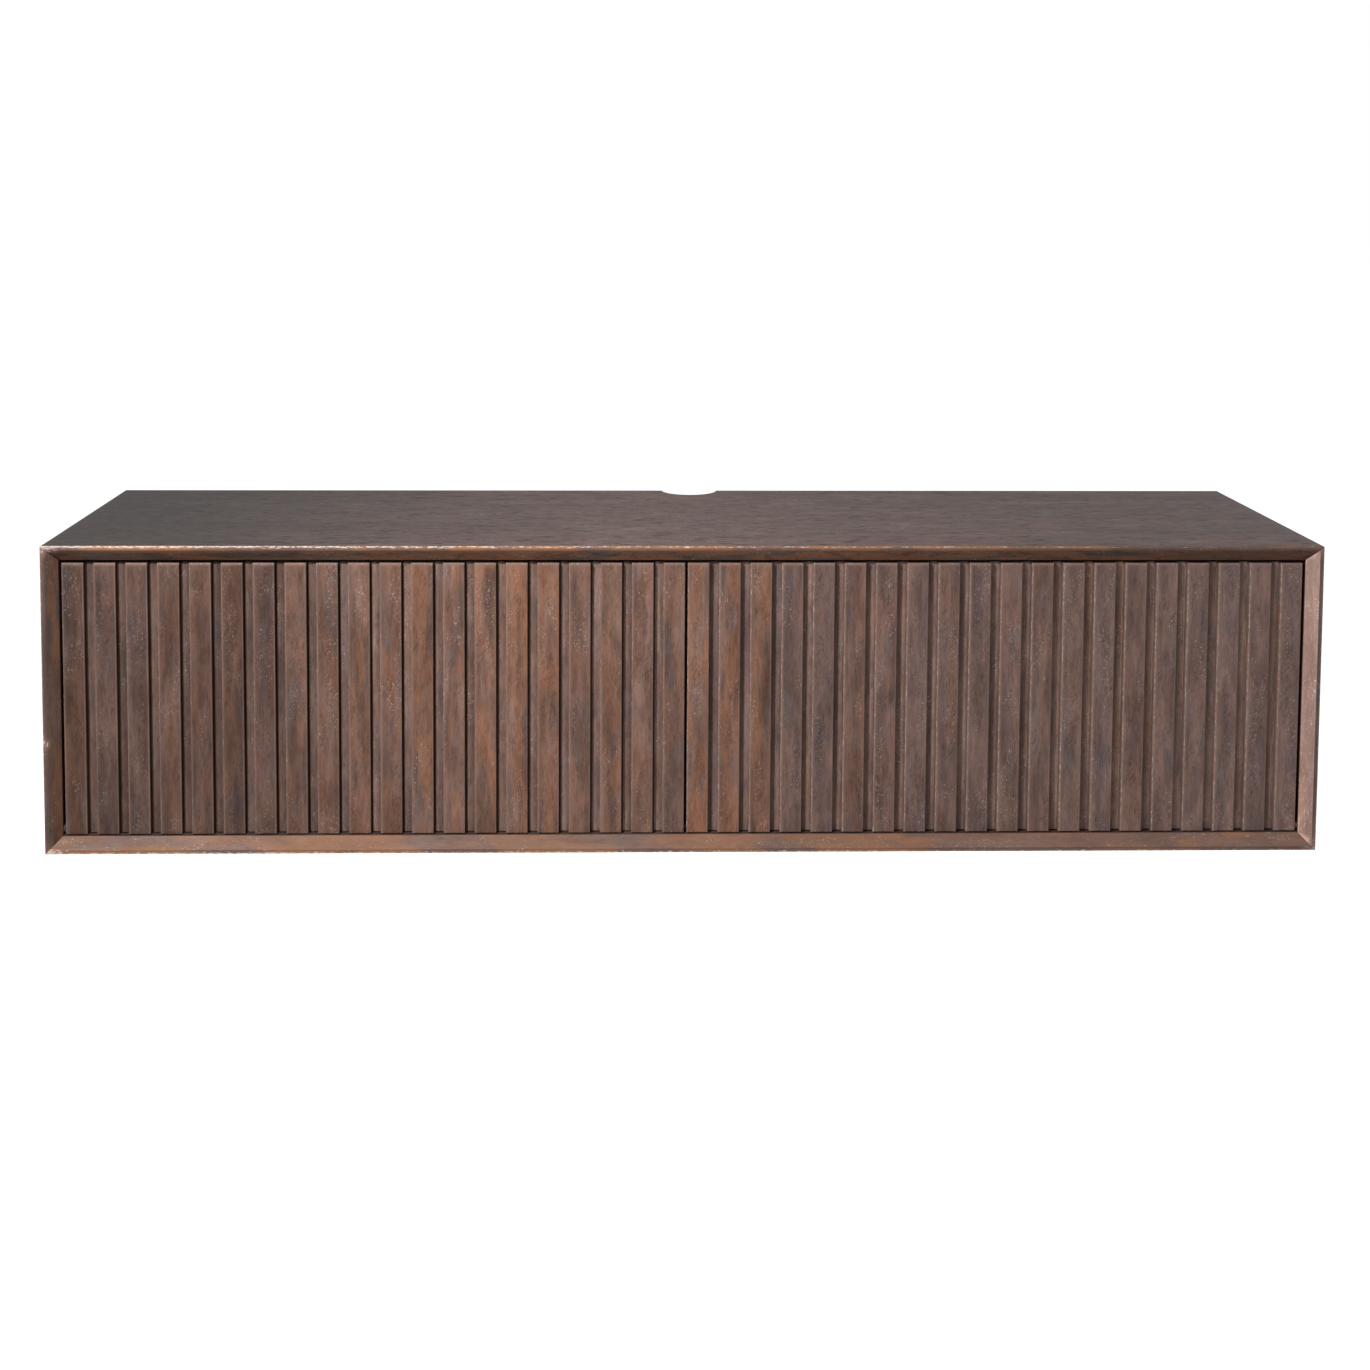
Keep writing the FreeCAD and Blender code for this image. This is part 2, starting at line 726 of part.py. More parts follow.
def latch_housing():
    """Moulded housing screwed up into the top, bored from the front for the plunger."""
    half = latch_width / 2
    rear_y = housing_front_y + latch_length
    body = block(-compartment_x - half, -compartment_x + half, housing_front_y, rear_y,
                 inner_z - latch_height, inner_z)
    lower = edges_on(body, lambda p: near(p.z, inner_z - latch_height))
    body = body.makeChamfer(latch_corner, [e for e in lower if e.BoundBox.YLength > latch_width])
    middle_y = housing_front_y + latch_length / 2
    ears = block(-compartment_x - half - ear_width, -compartment_x + half + ear_width,
                 middle_y - ear_length / 2, middle_y + ear_length / 2, inner_z - ear_thickness, inner_z)
    bore_depth = plunger_length - latch_standoff + magnet_thickness + plunger_travel + latch_bore_room
    bore = rod(plunger_radius + plunger_play, bore_depth, Vector(-compartment_x, housing_front_y, latch_z), Y)
    return body.fuse(ears).cut([bore] + latch_screws_left(screw_play)).removeSplitter()


def latch_plunger():
    start = Vector(-compartment_x, plunger_tip_y + magnet_thickness, latch_z)
    return rod(plunger_radius, plunger_length, start, Y)


def latch_magnet():
    start = Vector(-compartment_x, plunger_tip_y, latch_z)
    return prism(magnet_radius, magnet_thickness, start, Y, round_sides)


def striker_screws(play=0.0):
    x_offset = striker_width / 2 - striker_screw_inset
    screws = []
    for side in (-1, 1):
        point = Vector(-compartment_x + side * x_offset, striker_face_y, latch_z)
        screws.append(screw(point, Y * -1, short_screw_length, play))
    return screws


def striker_plate():
    half = striker_width / 2
    plate = block(-compartment_x - half, -compartment_x + half, flap_rear_y, striker_face_y,
                  latch_z - striker_height / 2, latch_z + striker_height / 2)
    corners = [edge for edge in plate.Edges if near(edge.BoundBox.YLength, striker_thickness)]
    plate = plate.makeChamfer(plate_corner, corners)
    return plate.cut(striker_screws(screw_play))


# ---- the console ----
def export_pair(name, solids):
    """Writes a left piece and its mirror image on the right."""
    export("left_" + name, solids)
    export("right_" + name, [mirrored(solid) for solid in solids])


os.makedirs("parts", exist_ok=True)

left_side = side_panel_left()
export("top_panel", [top_panel()])
export("bottom_panel", [bottom_panel()])
export("side_panel_left", [left_side])
export("side_panel_right", [mirrored(left_side)])
export("mitre_splines", mitre_splines())
export("centre_divider", [centre_divider()])
export("back_panel", [back_panel()])
export("back_panel_screws", back_panel_screws())
left_rail, right_rail = upper_rail_ends()
export("upper_hanging_rail_left", [hanging_rail(left_rail[0], left_rail[1], upper_rail_z)])
export("upper_hanging_rail_right", [hanging_rail(right_rail[0], right_rail[1], upper_rail_z)])
export("lower_hanging_rail", [hanging_rail(-inner_x, inner_x, -upper_rail_z)])

export("centre_hinge_tongue", [centre_hinge_tongue()])
export("hinge_tongue_dowels", tongue_dowels())
export_pair("carcass_hinge_leaf", [carcass_leaf()])
export_pair("carcass_hinge_screws", carcass_leaf_screws())

export_pair("flap_slats", flap_slats())
export_pair("flap_board", [flap_board()])
export_pair("flap_hinge_leaves", flap_leaves())
export_pair("flap_hinge_screws", flap_leaf_screws())
export_pair("flap_thrust_washer", [thrust_washer()])
export_pair("flap_striker_plate", [striker_plate()])
export_pair("flap_striker_screws", striker_screws())

export_pair("stay_bases", stay_bases_left())
stay_screws = base_screws(-inner_x, 1, long_screw_length)
stay_screws += base_screws(-panel / 2, -1, short_screw_length)
export_pair("stay_base_screws", stay_screws)
export_pair("stay_guides", both_walls(stay_guide()))
export_pair("stay_friction_screws", both_walls(friction_screw()))
export_pair("stay_bars", both_walls(stay_bar()))
export_pair("stay_end_stops", both_walls(stay_stop()))
export_pair("stay_brackets", flap_stay_brackets())
export_pair("stay_bracket_screws", bracket_screws())

export_pair("latch_housing", [latch_housing()])
export_pair("latch_screws", latch_screws_left())
export_pair("latch_plunger", [latch_plunger()])
export_pair("latch_magnet", [latch_magnet()])
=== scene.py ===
import math
import random

import bmesh
import bpy
import numpy as np
from mathutils import Matrix, Vector, noise


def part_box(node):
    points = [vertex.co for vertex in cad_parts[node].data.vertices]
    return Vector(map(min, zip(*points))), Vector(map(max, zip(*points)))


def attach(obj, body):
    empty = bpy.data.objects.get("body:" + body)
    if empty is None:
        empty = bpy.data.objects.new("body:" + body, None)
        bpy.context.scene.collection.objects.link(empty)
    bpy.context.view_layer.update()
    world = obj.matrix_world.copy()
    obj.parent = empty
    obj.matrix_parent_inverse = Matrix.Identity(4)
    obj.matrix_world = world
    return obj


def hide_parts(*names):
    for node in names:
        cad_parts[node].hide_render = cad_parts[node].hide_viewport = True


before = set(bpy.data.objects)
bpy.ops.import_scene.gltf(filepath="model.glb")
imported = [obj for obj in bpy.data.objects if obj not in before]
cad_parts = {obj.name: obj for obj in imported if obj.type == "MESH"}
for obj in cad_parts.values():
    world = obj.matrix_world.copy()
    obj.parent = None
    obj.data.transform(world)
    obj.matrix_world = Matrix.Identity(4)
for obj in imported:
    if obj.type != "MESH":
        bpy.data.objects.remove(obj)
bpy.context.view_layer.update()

# ---- The case boards ----
# Four solid mango boards, 20 mm thick, mitred at the corners and glued over loose tongues.
# The front edge is planed to a 5 mm lip with a bevel running back and inwards to the flaps,
# and every arris is rubbed down by hand before the dark stain and wax.

mm = 0.001
board_thickness = 20 * mm
case_depth = 400 * mm
case_half_width = 800 * mm
case_half_height = 195 * mm
front_lip = 5 * mm
bevel_run = 11 * mm
eased_arris = 1.1 * mm
corner_round = 2.2 * mm
glue_joints = (76, 161, 233, 318)       # mm behind the front edge, between a board's staves
# the rows at 28 and 34 mm bound the edge of the painted shadow on the inner face
wear_and_shadow_rows = (4, 7, 9.5, 12, 28, 34)     # mm behind the front edge, where the wear changes
wear_columns = 25 * mm
knock_columns = (-14, -9, -5, -2, 2, 5, 9, 14)      # mm from the middle of a knock
knock_reach = 5 * mm
# on the slats' upper ends this reach carries a painted highlight
wear_and_highlight_behind = 2.5 * mm      # how far the wear reaches behind an outer arris,
worn_below = 1.2 * mm       # down the lip,
worn_inwards = 0.5 * mm     # from the lip on to the bevel,
worn_corner = 3 * mm        # and round a mitred corner
# how far behind the front edge the painted shadow on the inner face reaches
painted_shadow_reach = 30 * mm
sanding_waves = 0.3 * mm


def linear(hex_colour):
    """sRGB hex to the linear values that Blender's sockets take."""
    channels = [int(hex_colour[i:i + 2], 16) / 255 for i in (1, 3, 5)]
    lit = [c / 12.92 if c <= 0.04045 else ((c + 0.055) / 1.055) ** 2.4 for c in channels]
    return (*lit, 1.0)


def add(tree, kind, inputs=None, **settings):
    """Adds a node with its settings; a socket among the inputs is linked, a value is set."""
    made = tree.nodes.new(kind)
    for setting, value in settings.items():
        setattr(made, setting, value)
    for socket, value in (inputs or {}).items():
        if isinstance(value, bpy.types.NodeSocket):
            tree.links.new(value, made.inputs[socket])
        else:
            made.inputs[socket].default_value = value
    return made


def new_material(name):
    """A material with an empty node tree, and the tree."""
    material = bpy.data.materials.new(name)
    material.use_nodes = True
    material.node_tree.nodes.clear()
    return material, material.node_tree


def mottled(tree, place, size, detail=2.0, wander=0.0, start=(0.0, 0.0, 0.0),
            turn=(0.0, 0.0, 0.0)):
    """Cloudy noise, where size is that of one cloud along x, y and z in mm."""
    laid_out = add(tree, "ShaderNodeMapping",
                   {"Vector": place, "Location": start, "Rotation": turn,
                    "Scale": [length * mm for length in size]}, vector_type="TEXTURE").outputs[0]
    return add(tree, "ShaderNodeTexNoise",
               {"Vector": laid_out, "Scale": 1.0, "Detail": detail, "Roughness": 0.5,
                "Distortion": wander}).outputs["Fac"]


def surfaced(tree, height, strength, depth, sockets, invert=False):
    """The shader with its sockets set, over the relief that height gives, depth deep."""
    bump = add(tree, "ShaderNodeBump",
               {"Height": height, "Strength": strength, "Distance": depth}, invert=invert)
    shader = add(tree, "ShaderNodeBsdfPrincipled", {**sockets, "Normal": bump.outputs["Normal"]})
    add(tree, "ShaderNodeOutputMaterial", {"Surface": shader.outputs[0]})


def stained_mango(name, along, tone, band, warmth, grey, figure, dashes, rubbing,
                  satin=(0.44, 0.58), shine=0.25):
    """Solid mango, planed, sanded, stained dark brown and waxed.

    The stain takes unevenly: soft bands of grey, red and orange brown run with the grain, some
    places have a fine slanting ripple, the open pores show as short dark dashes with a little
    dust and wax in them, and the rubbed arrises are pale, partly as a painted highlight where they
    face the lamp. along is the axis of the grain, 0 for x and 2 for z, and band is the width and
    length of a band in mm. warmth, grey, figure, dashes and rubbing say how strongly the heartwood,
    the mineral stain, the ripple, the dashes and the rubbed-through patches show. The stave
    attribute gives each stave its own place in the pattern, its own brightness, into which painted
    light is multiplied on some faces, and its own warmth. A second attribute paints shade and
    shadow dark into the inner corners and the grooves.
    """
    material, tree = new_material(name)
    place = add(tree, "ShaderNodeTexCoord").outputs["Object"]
    stave = add(tree, "ShaderNodeAttribute", attribute_name="stave").outputs["Vector"]
    own = add(tree, "ShaderNodeSeparateXYZ", {0: stave}).outputs
    stave_spread = (37.0, 19.0, 23.0)
    apart = add(tree, "ShaderNodeVectorMath", {0: own["X"], 1: stave_spread},
                operation="MULTIPLY").outputs[0]
    place = add(tree, "ShaderNodeVectorMath", {0: place, 1: apart}, operation="ADD").outputs[0]

    def streaks(width, length, low, high, top=1.0, detail=2.0, wander=0.4, lean=0.0):
        """Noise drawn out along the grain: nothing where it is under low, top where over high.

        width and length are one streak's size in mm, and lean turns it out of the grain.
        """
        size = [width] * 3
        size[along] = length
        turn = [0.0, 0.0, 0.0]
        turn[2 if along == 0 else 1] = math.radians(lean)
        start = 0.21 * len(tree.nodes)      # so that no two layers lie alike
        cloudy = mottled(tree, place, size, detail, wander, (start, start * 1.7, start * 0.6), turn)
        return add(tree, "ShaderNodeMapRange",
                   {"Value": cloudy, "From Min": low, "From Max": high, "To Max": top},
                   interpolation_type="SMOOTHSTEP").outputs["Result"]

    # bands of stain, ragged along the fibres
    bands = streaks(*band, 0.32, 0.68, detail=4.0, wander=0.15)
    ramp = add(tree, "ShaderNodeValToRGB", {"Fac": bands})
    steps = ramp.color_ramp.elements
    steps[0].color, steps[1].color = linear(tone["dark"]), linear(tone["light"])
    steps.new(0.5).color = linear(tone["middle"])
    colour = ramp.outputs["Color"]

    growth_line = [0.4 * size for size in band]
    # fibres drawn 2 mm wide, where real ones can't be seen apart
    fibre = streaks(2.0, 14, 0.38, 0.66)
    pores = streaks(1.2, 7, 0.62, 0.72, detail=1.0, wander=0.0)
    drift = streaks(20, 55, 0.50, 0.62, wander=0.0)
    patch = streaks(17, 60, 0.50, 0.64, wander=0.0)
    cool = add(tree, "ShaderNodeMath", {0: 1.0, 1: own["Z"]}, operation="SUBTRACT").outputs[0]
    painted_shade = add(tree, "ShaderNodeAttribute", attribute_name="painted_shade").outputs["Fac"]
    rub_and_highlight = add(tree, "ShaderNodeAttribute", attribute_name="rub_and_highlight").outputs["Fac"]
    lift = add(tree, "ShaderNodeCombineXYZ", {0: own["Y"], 1: own["Y"], 2: own["Y"]}).outputs[0]
    thinned_and_highlit = add(tree, "ShaderNodeMapRange", {"Value": rub_and_highlight, "From Min": 0.05, "From Max": 0.75},
                  interpolation_type="SMOOTHSTEP").outputs["Result"]
    gilded = add(tree, "ShaderNodeMath", {0: thinned_and_highlit, 1: streaks(30, 120, 0.44, 0.58)},
                 operation="MULTIPLY").outputs[0]
    dashed = streaks(6, 20, 0.56, 0.63, wander=0.3)
    dashed = add(tree, "ShaderNodeMath", {0: rub_and_highlight, 1: -3.0, 2: dashed}, operation="MULTIPLY_ADD",
                 use_clamp=True).outputs[0]
    ragged = streaks(1.1, 6, 0.2, 0.8, detail=4.0)
    ragged = add(tree, "ShaderNodeMath", {0: rub_and_highlight, 1: ragged}, operation="ADD").outputs[0]
    worn_and_highlit = add(tree, "ShaderNodeMapRange", {"Value": ragged, "From Min": 1.22, "From Max": 1.50,
                                            "To Max": rubbing}).outputs["Result"]
    layers = (
        # a grey cast, more of it in a cool stave, and mineral stain in soft blue grey patches
        ("MIX", linear(tone["cool"]), cool, 0.4),
        ("MIX", linear(tone["cold"]), streaks(10, 50, 0.50, 0.66, detail=5.0, wander=0.15), grey),
        # heartwood, warm orange brown, more of it in a warm stave
        ("MIX", linear(tone["warm"]), streaks(12, 80, 0.40, 0.60, warmth, detail=5.0, wander=0.15),
         own["Z"]),
        # growth lines, fibres, and short dark dashes where the grain dips, unless rubbed away
        ("MULTIPLY", linear("#dfdedd"), streaks(*growth_line, 0.36, 0.66), 0.25),
        ("MULTIPLY", linear("#dad8d7"), fibre, 0.55),
        ("MULTIPLY", linear("#a29e99"), dashed, dashes),
        # ripple figure, slanting, in patches
        ("MULTIPLY", linear("#d4d1ce"),
         streaks(2.3, 7, 0.46, 0.62, figure, detail=1.0, wander=0.6, lean=28), patch),
        # pores, drawn 1.2 mm wide where real ones are a third of that, so that they show
        ("MULTIPLY", linear("#bbb8b5"), pores, 0.6),
        # dust and wax left in the pores, in drifts, drawn as coarse as the pores
        ("MIX", linear(tone["dust"]),
         streaks(1.6, 2.6, 0.60, 0.72, 0.6, detail=1.0, lean=20), drift),
        # each stave's own brightness with painted light multiplied in, clouded where the stain was
        # wiped
        ("MULTIPLY", lift, 1.0, 1.0),
        ("MULTIPLY", linear("#dad8d7"), streaks(16, 50, 0.34, 0.66, detail=4.0), 0.8),
        # painted shade and shadow, dark in the inner corners and the grooves; then the arrises
        # rubbed thin, there golden in places, and in the end rubbed through, which on the slats'
        # left and upper arrises and on the right side's bevel is also a painted highlight
        ("MIX", linear("#1a0902"), painted_shade, 0.95),
        ("MIX", linear(tone["thin"]), thinned_and_highlit, 0.85),
        ("MIX", linear(tone["gold"]), gilded, 0.85),
        ("MIX", linear(tone["rubbed"]), worn_and_highlit, 1.0))
    for blend, over, amount, share in layers:
        amount = add(tree, "ShaderNodeMath", {0: amount, 1: share},
                     operation="MULTIPLY").outputs[0]
        colour = add(tree, "ShaderNodeMix", {0: amount, 6: colour, 7: over}, data_type="RGBA",
                     blend_type=blend, clamp_factor=True).outputs[2]

    grain = streaks(1.1, 14, 0.3, 0.7, wander=0.0)
    wax = add(tree, "ShaderNodeMapRange", {"Value": grain, "To Min": satin[0],
                                           "To Max": satin[1]}).outputs["Result"]
    height = add(tree, "ShaderNodeMath", {0: grain, 1: pores}, operation="SUBTRACT").outputs[0]
    surfaced(tree, height, 0.4, 0.1 * mm,
             {"Base Color": colour, "Roughness": wax, "Specular IOR Level": shine})
    return material


case_tone = {"dark": "#44362f", "middle": "#4e3f37", "light": "#5b4940", "warm": "#6a4530",
             "cool": "#574a4c", "cold": "#504c4d", "dust": "#8d8077", "thin": "#80645a",
             "gold": "#a8734a", "rubbed": "#e0cfc6"}
upright_tone = dict(case_tone, gold="#84685c")
# broad soft bands and a matt face; the dark dashes stand out on the top and hardly below
lengthwise_mango = stained_mango("stained_mango_lengthwise", 0, case_tone, (60, 170), warmth=0.5,
                                 grey=0.2, figure=0.2, dashes=1.0, rubbing=0.9,
                                 satin=(0.60, 0.74))
bottom_mango = stained_mango("stained_mango_bottom", 0, case_tone, (60, 170), warmth=0.5,
                             grey=0.2, figure=0.2, dashes=0.35, rubbing=0.9, satin=(0.60, 0.74))
# narrower bands, and a little more wax on the sides
upright_mango = stained_mango("stained_mango_upright", 2, upright_tone, (24, 200), warmth=0.6,
                              grey=0.2, figure=0.2, dashes=0.35, rubbing=0.9)


def everything(bm):
    return bm.verts[:] + bm.edges[:] + bm.faces[:]


def plank(lo, hi):
    """A square-edged board between two corners."""
    bm = bmesh.new()
    bmesh.ops.create_cube(bm, size=1)
    bmesh.ops.scale(bm, vec=hi - lo, verts=bm.verts)
    bmesh.ops.translate(bm, vec=(lo + hi) / 2, verts=bm.verts)
    return bm


def rounded(bm, edges, arris, segments, clamp=False):
    """Rounds edges over, as a hand plane and a sanding block leave them."""
    bmesh.ops.bevel(bm, geom=edges, offset=arris, offset_type="OFFSET", segments=segments,
                    profile=0.5, affect="EDGES", clamp_overlap=clamp, material=-1)


def cut_away(bm, point, outward):
    """Saws off what lies outward of a plane and closes the cut."""
    bmesh.ops.bisect_plane(bm, geom=everything(bm), plane_co=point, plane_no=outward,
                           clear_outer=True)
    bmesh.ops.holes_fill(bm, edges=[edge for edge in bm.edges if edge.is_boundary])


def score(bm, axis, places):
    """Adds an edge loop at each place along an axis."""
    direction = Vector((0, 0, 0))
    direction[axis] = 1
    for place in places:
        bmesh.ops.bisect_plane(bm, geom=everything(bm), plane_co=direction * place,
                               plane_no=direction)


def shaded(piece):
    """Smooth over the rounded arrises, flat on the faces."""
    sharp_from = math.radians(38)
    piece.data.polygons.foreach_set("use_smooth", [True] * len(piece.data.polygons))
    piece.data.set_sharp_from_angle(angle=sharp_from)
    weights = piece.modifiers.new("flat_faces", "WEIGHTED_NORMAL")
    weights.keep_sharp = True


def placed(name, bm):
    """Stands a mesh in the scene."""
    mesh = bpy.data.meshes.new(name)
    bm.to_mesh(mesh)
    bm.free()
    piece = bpy.data.objects.new(name, mesh)
    bpy.context.scene.collection.objects.link(piece)
    return piece


def turned_out(bm):
    """Turns every face outwards; a slender shell can come out of the operator inside out."""
    bmesh.ops.recalc_face_normals(bm, faces=bm.faces)
    if bm.calc_volume(signed=True) < 0:
        bmesh.ops.reverse_faces(bm, faces=bm.faces)


def finished(name, bm, material, body, node):
    """Makes the piece, gives it its finish and fixes it to its body."""
    piece = placed(name, bm)
    piece.data.materials.append(material)
    shaded(piece)
    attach(piece, body)
    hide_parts(node)
    return piece


def fade(distance, reach):
    """1 at no distance, about a third at reach, then towards nothing."""
    return math.exp(-distance / reach)


def case_board(half_length, seed, lip_rub, bevel_rub_and_highlight, bevel_painted_light, bevel_warmth,
               face_painted_sheen=(1.0, 1.0, 1.0), knock=None, painted_shadow_behind=0.8):
    """Board along x, outer face up at z = 0, front lip and bevel at y = -case_depth.

    lip_rub and the bevel's rubbing say how far the stain is rubbed away there, at -x, in the middle
    and at +x; on the right side's bevel this is also a painted highlight. The painted light on the
    bevel and the painted sheen on the outer face multiply their brightness at the same places: the
    bevel is painted lighter where it faces up or towards the lamp and darker where it faces away,
    and the top is painted darker at -x and lighter in the middle and at +x, as a painted
    reflection.
    bevel_warmth says how warm the bevel is, at the lip and at the inner arris. knock is the place
    along x of a knock on the front arris, and the shadow behind says how dark a painted shadow lies
    on the inner face behind the bevel, where the flap shades it.
    """
    bm = plank(Vector((-half_length, -case_depth, -board_thickness)), Vector((half_length, 0, 0)))
    bevel_rise = board_thickness - front_lip
    cut_away(bm, (0, -case_depth, -front_lip), Vector((0, -bevel_rise, -bevel_run)))
    long_edges = [edge for edge in bm.edges
                  if abs(edge.verts[0].co.x - edge.verts[1].co.x) > half_length]
    rounded(bm, long_edges, eased_arris, 3)
    for side in (-1, 1):
        cut_away(bm, Vector((side * half_length, 0, 0)), Vector((side, 0, -1)))
        centre = Vector((side * (half_length - corner_round), 0, -corner_round))
        for lean in (math.radians(22.5), math.radians(45)):
            outward = Vector((side * math.sin(lean), 0, math.cos(lean)))
            cut_away(bm, centre + corner_round * outward, outward)
    joints = [-case_depth + d * mm for d in glue_joints]
    score(bm, 1, [-case_depth + d * mm for d in wear_and_shadow_rows] + joints)
    count = int(half_length / wear_columns)
    score(bm, 0, [i * wear_columns for i in range(-count, count + 1)])
    score(bm, 2, [-corner_round])
    if knock:
        score(bm, 0, [knock + d * mm for d in knock_columns])
    draw = random.Random(seed)
    owns = [Vector((draw.random(), draw.uniform(0.93, 1.07), draw.uniform(0.3, 0.6)))
            for _ in range(len(joints) + 1)]
    stave = bm.faces.layers.float_vector.new("stave")
    for face in bm.faces:
        middle = face.calc_center_median()
        own = owns[sum(middle.y > joint for joint in joints)].copy()
        beside = abs(middle.x / half_length)
        beside *= beside * (3 - 2 * beside)     # slow at both ends of the change
        end = 2 if middle.x > 0 else 0
        # painted light: the bevel's brightness is multiplied up where it faces up or towards the
        # lamp, and the outer face's by a painted reflection
        if middle.y < -case_depth + bevel_run and middle.z < -front_lip:
            own.y *= bevel_painted_light[1] + (bevel_painted_light[end] - bevel_painted_light[1]) * beside
            inwards = (middle.y + case_depth) / bevel_run
            own.z = bevel_warmth[0] + (bevel_warmth[1] - bevel_warmth[0]) * inwards
        elif middle.z > -eased_arris and middle.y > -case_depth + eased_arris:
            own.y *= face_painted_sheen[1] + (face_painted_sheen[end] - face_painted_sheen[1]) * beside
            own.z *= 0.4
        face[stave] = own
    rub_and_highlight = bm.verts.layers.float.new("rub_and_highlight")
    painted_shade = bm.verts.layers.float.new("painted_shade")
    for vert in bm.verts:
        x, y, z = vert.co
        lip, bevel = (np.interp(x / half_length, (-1, 0, 1), rubs) for rubs in (lip_rub, bevel_rub_and_highlight))
        behind = y + case_depth
        if z > -eased_arris * 0.5 or abs(x) > half_length - eased_arris - abs(z):
            vert[rub_and_highlight] = lip * fade(behind, wear_and_highlight_behind)
        elif behind < 0.1 * mm:
            vert[rub_and_highlight] = lip * (0.36 + 0.64 * fade(max(0.0, -z - eased_arris), worn_below))
        elif behind < bevel_run:
            vert[rub_and_highlight] = bevel + (0.6 * lip - bevel) * fade(behind, worn_inwards)
        # painted shadow on the inner face just behind the bevel, where the flap shades it
        if z < -0.99 * board_thickness and bevel_run - 0.1 * mm < behind < painted_shadow_reach:
            vert[painted_shade] = painted_shadow_behind
        from_corner = Vector((half_length - abs(x), z)).length
        vert[rub_and_highlight] += 0.2 * fade(from_corner, worn_corner)
        if knock and behind < 3 * mm:
            vert[rub_and_highlight] += 0.5 * math.exp(-((x - knock) / knock_reach) ** 2)
        # the front waves a little, as sanding by hand leaves it
        if behind < 4 * mm:
            vert.co.y += sanding_waves * abs(noise.noise(Vector((x * 30, seed, 0))))
    turned_out(bm)
    return bm


def laid(bm, turn_deg, offset):
    """Turns a board about y and moves it to its place, in the mesh."""
    turn = Matrix.Rotation(math.radians(turn_deg), 4, "Y")
    bmesh.ops.transform(bm, matrix=Matrix.Translation(offset) @ turn, verts=bm.verts)


top = case_board(case_half_width, 1, lip_rub=(1.08, 0.74, 0.44), bevel_rub_and_highlight=(0.12, 0.12, 0.12),
                 bevel_painted_light=(0.60, 1.0, 0.62), bevel_warmth=(4.0, 4.0),
                 face_painted_sheen=(0.36, 2.1, 1.55))
laid(top, 0, (0, 0, case_half_height))
top_board = finished("top_board", top, lengthwise_mango, "carcass", "top_panel")

bottom = case_board(case_half_width, 2, lip_rub=(0.6, 0.8, 1.0), bevel_rub_and_highlight=(0.42, 0.30, 0.36),
                    bevel_painted_light=(2.3, 2.0, 3.7), bevel_warmth=(0.6, 1.0), painted_shadow_behind=0.0)
laid(bottom, 180, (0, 0, -case_half_height))
finished("bottom_board", bottom, bottom_mango, "carcass", "bottom_panel")

left_side = case_board(case_half_height, 3, lip_rub=(0.5, 0.55, 0.6), bevel_rub_and_highlight=(0.1, 0.1, 0.1),
                       bevel_painted_light=(0.9, 0.9, 0.85), bevel_warmth=(1.0, 1.6), knock=-55 * mm)
laid(left_side, -90, (-case_half_width, 0, 0))
finished("side_board_left", left_side, upright_mango, "carcass", "side_panel_left")

# its bevel faces the lamp, so it is painted many times lighter, and more of its rubbing is a
# painted highlight
right_side = case_board(case_half_height, 4, lip_rub=(0.5, 0.5, 0.6),
                        bevel_rub_and_highlight=(0.35, 0.45, 0.55), bevel_painted_light=(8.6, 8.6, 10.0),
                        bevel_warmth=(0.0, 0.55))
laid(right_side, 90, (case_half_width, 0, 0))
finished("side_board_right", right_side, upright_mango, "carcass", "side_panel_right")

# ---- The cable notch ----
# A half-round bite sawn from the rear edge of the top with an 80 mm hole saw, then sanded. Cables
# drop through it behind what stands on the console.

notch_x = 20 * mm
notch_radius = 40 * mm
notch_centre_y = 3 * mm


def pocketed(piece, *cutters):
    """Cuts the piece to fit round what is let into it."""
    for cutter in cutters:
        cut = piece.modifiers.new("pocket", "BOOLEAN")
        cut.operation = "DIFFERENCE"
        cut.solver = "EXACT"
        cut.object = cutter
    graph = bpy.context.evaluated_depsgraph_get()
    shaped = bpy.data.meshes.new_from_object(piece.evaluated_get(graph))
    piece.modifiers.clear()
    piece.data = shaped
    shaded(piece)


saw = bmesh.new()
bmesh.ops.create_cone(saw, cap_ends=True, segments=96, radius1=notch_radius, radius2=notch_radius,
                      depth=3 * board_thickness)
bmesh.ops.translate(saw, vec=(notch_x, notch_centre_y, case_half_height), verts=saw.verts)
hole_saw = placed("hole_saw", saw)
pocketed(top_board, hole_saw)
bpy.data.objects.remove(hole_saw)

# ---- The slats ----
# Twenty mango slats, 27 mm wide and 9 mm thick, glued upright on each flap's board with a 12 mm
# groove between them. Each is cut from other stock, so each takes the stain in its own way. The
# outer two are let out and bored at the foot for the hinges.

slat_count = 20
groove = 12.4 * mm
slat_arris = 1.3 * mm
slat_shoulder = 3.2 * mm    # from a slat's edge to where the rounding and the wear end
slat_end = 4 * mm
slat_rows = 22
arris_wear_and_highlight = 1.8 * mm
sanded_off = 0.12 * mm
sanding_hollows = 0.22 * mm
hinge_pin_axis = (-383.5 * mm, -167.0 * mm)     # y and z
pin_bore_radius = 3 * mm
pin_bore_depth = 8.5 * mm
slat_tone = {"dark": "#58433a", "middle": "#6a5146", "light": "#7e6256", "warm": "#835a45",
             "cool": "#706062", "cold": "#5d5a5f", "dust": "#a2968f", "thin": "#867168",
             "gold": "#8a6c5e", "rubbed": "#c6b6ae"}
# lighter and greyer than the case, with a strong ripple, and pale upper ends that are a painted
# highlight
slat_mango = stained_mango("stained_mango_slats", 2, slat_tone, (17, 150), warmth=0.6, grey=0.36,
                           figure=0.7, dashes=0.2, rubbing=0.75, shine=0.12)


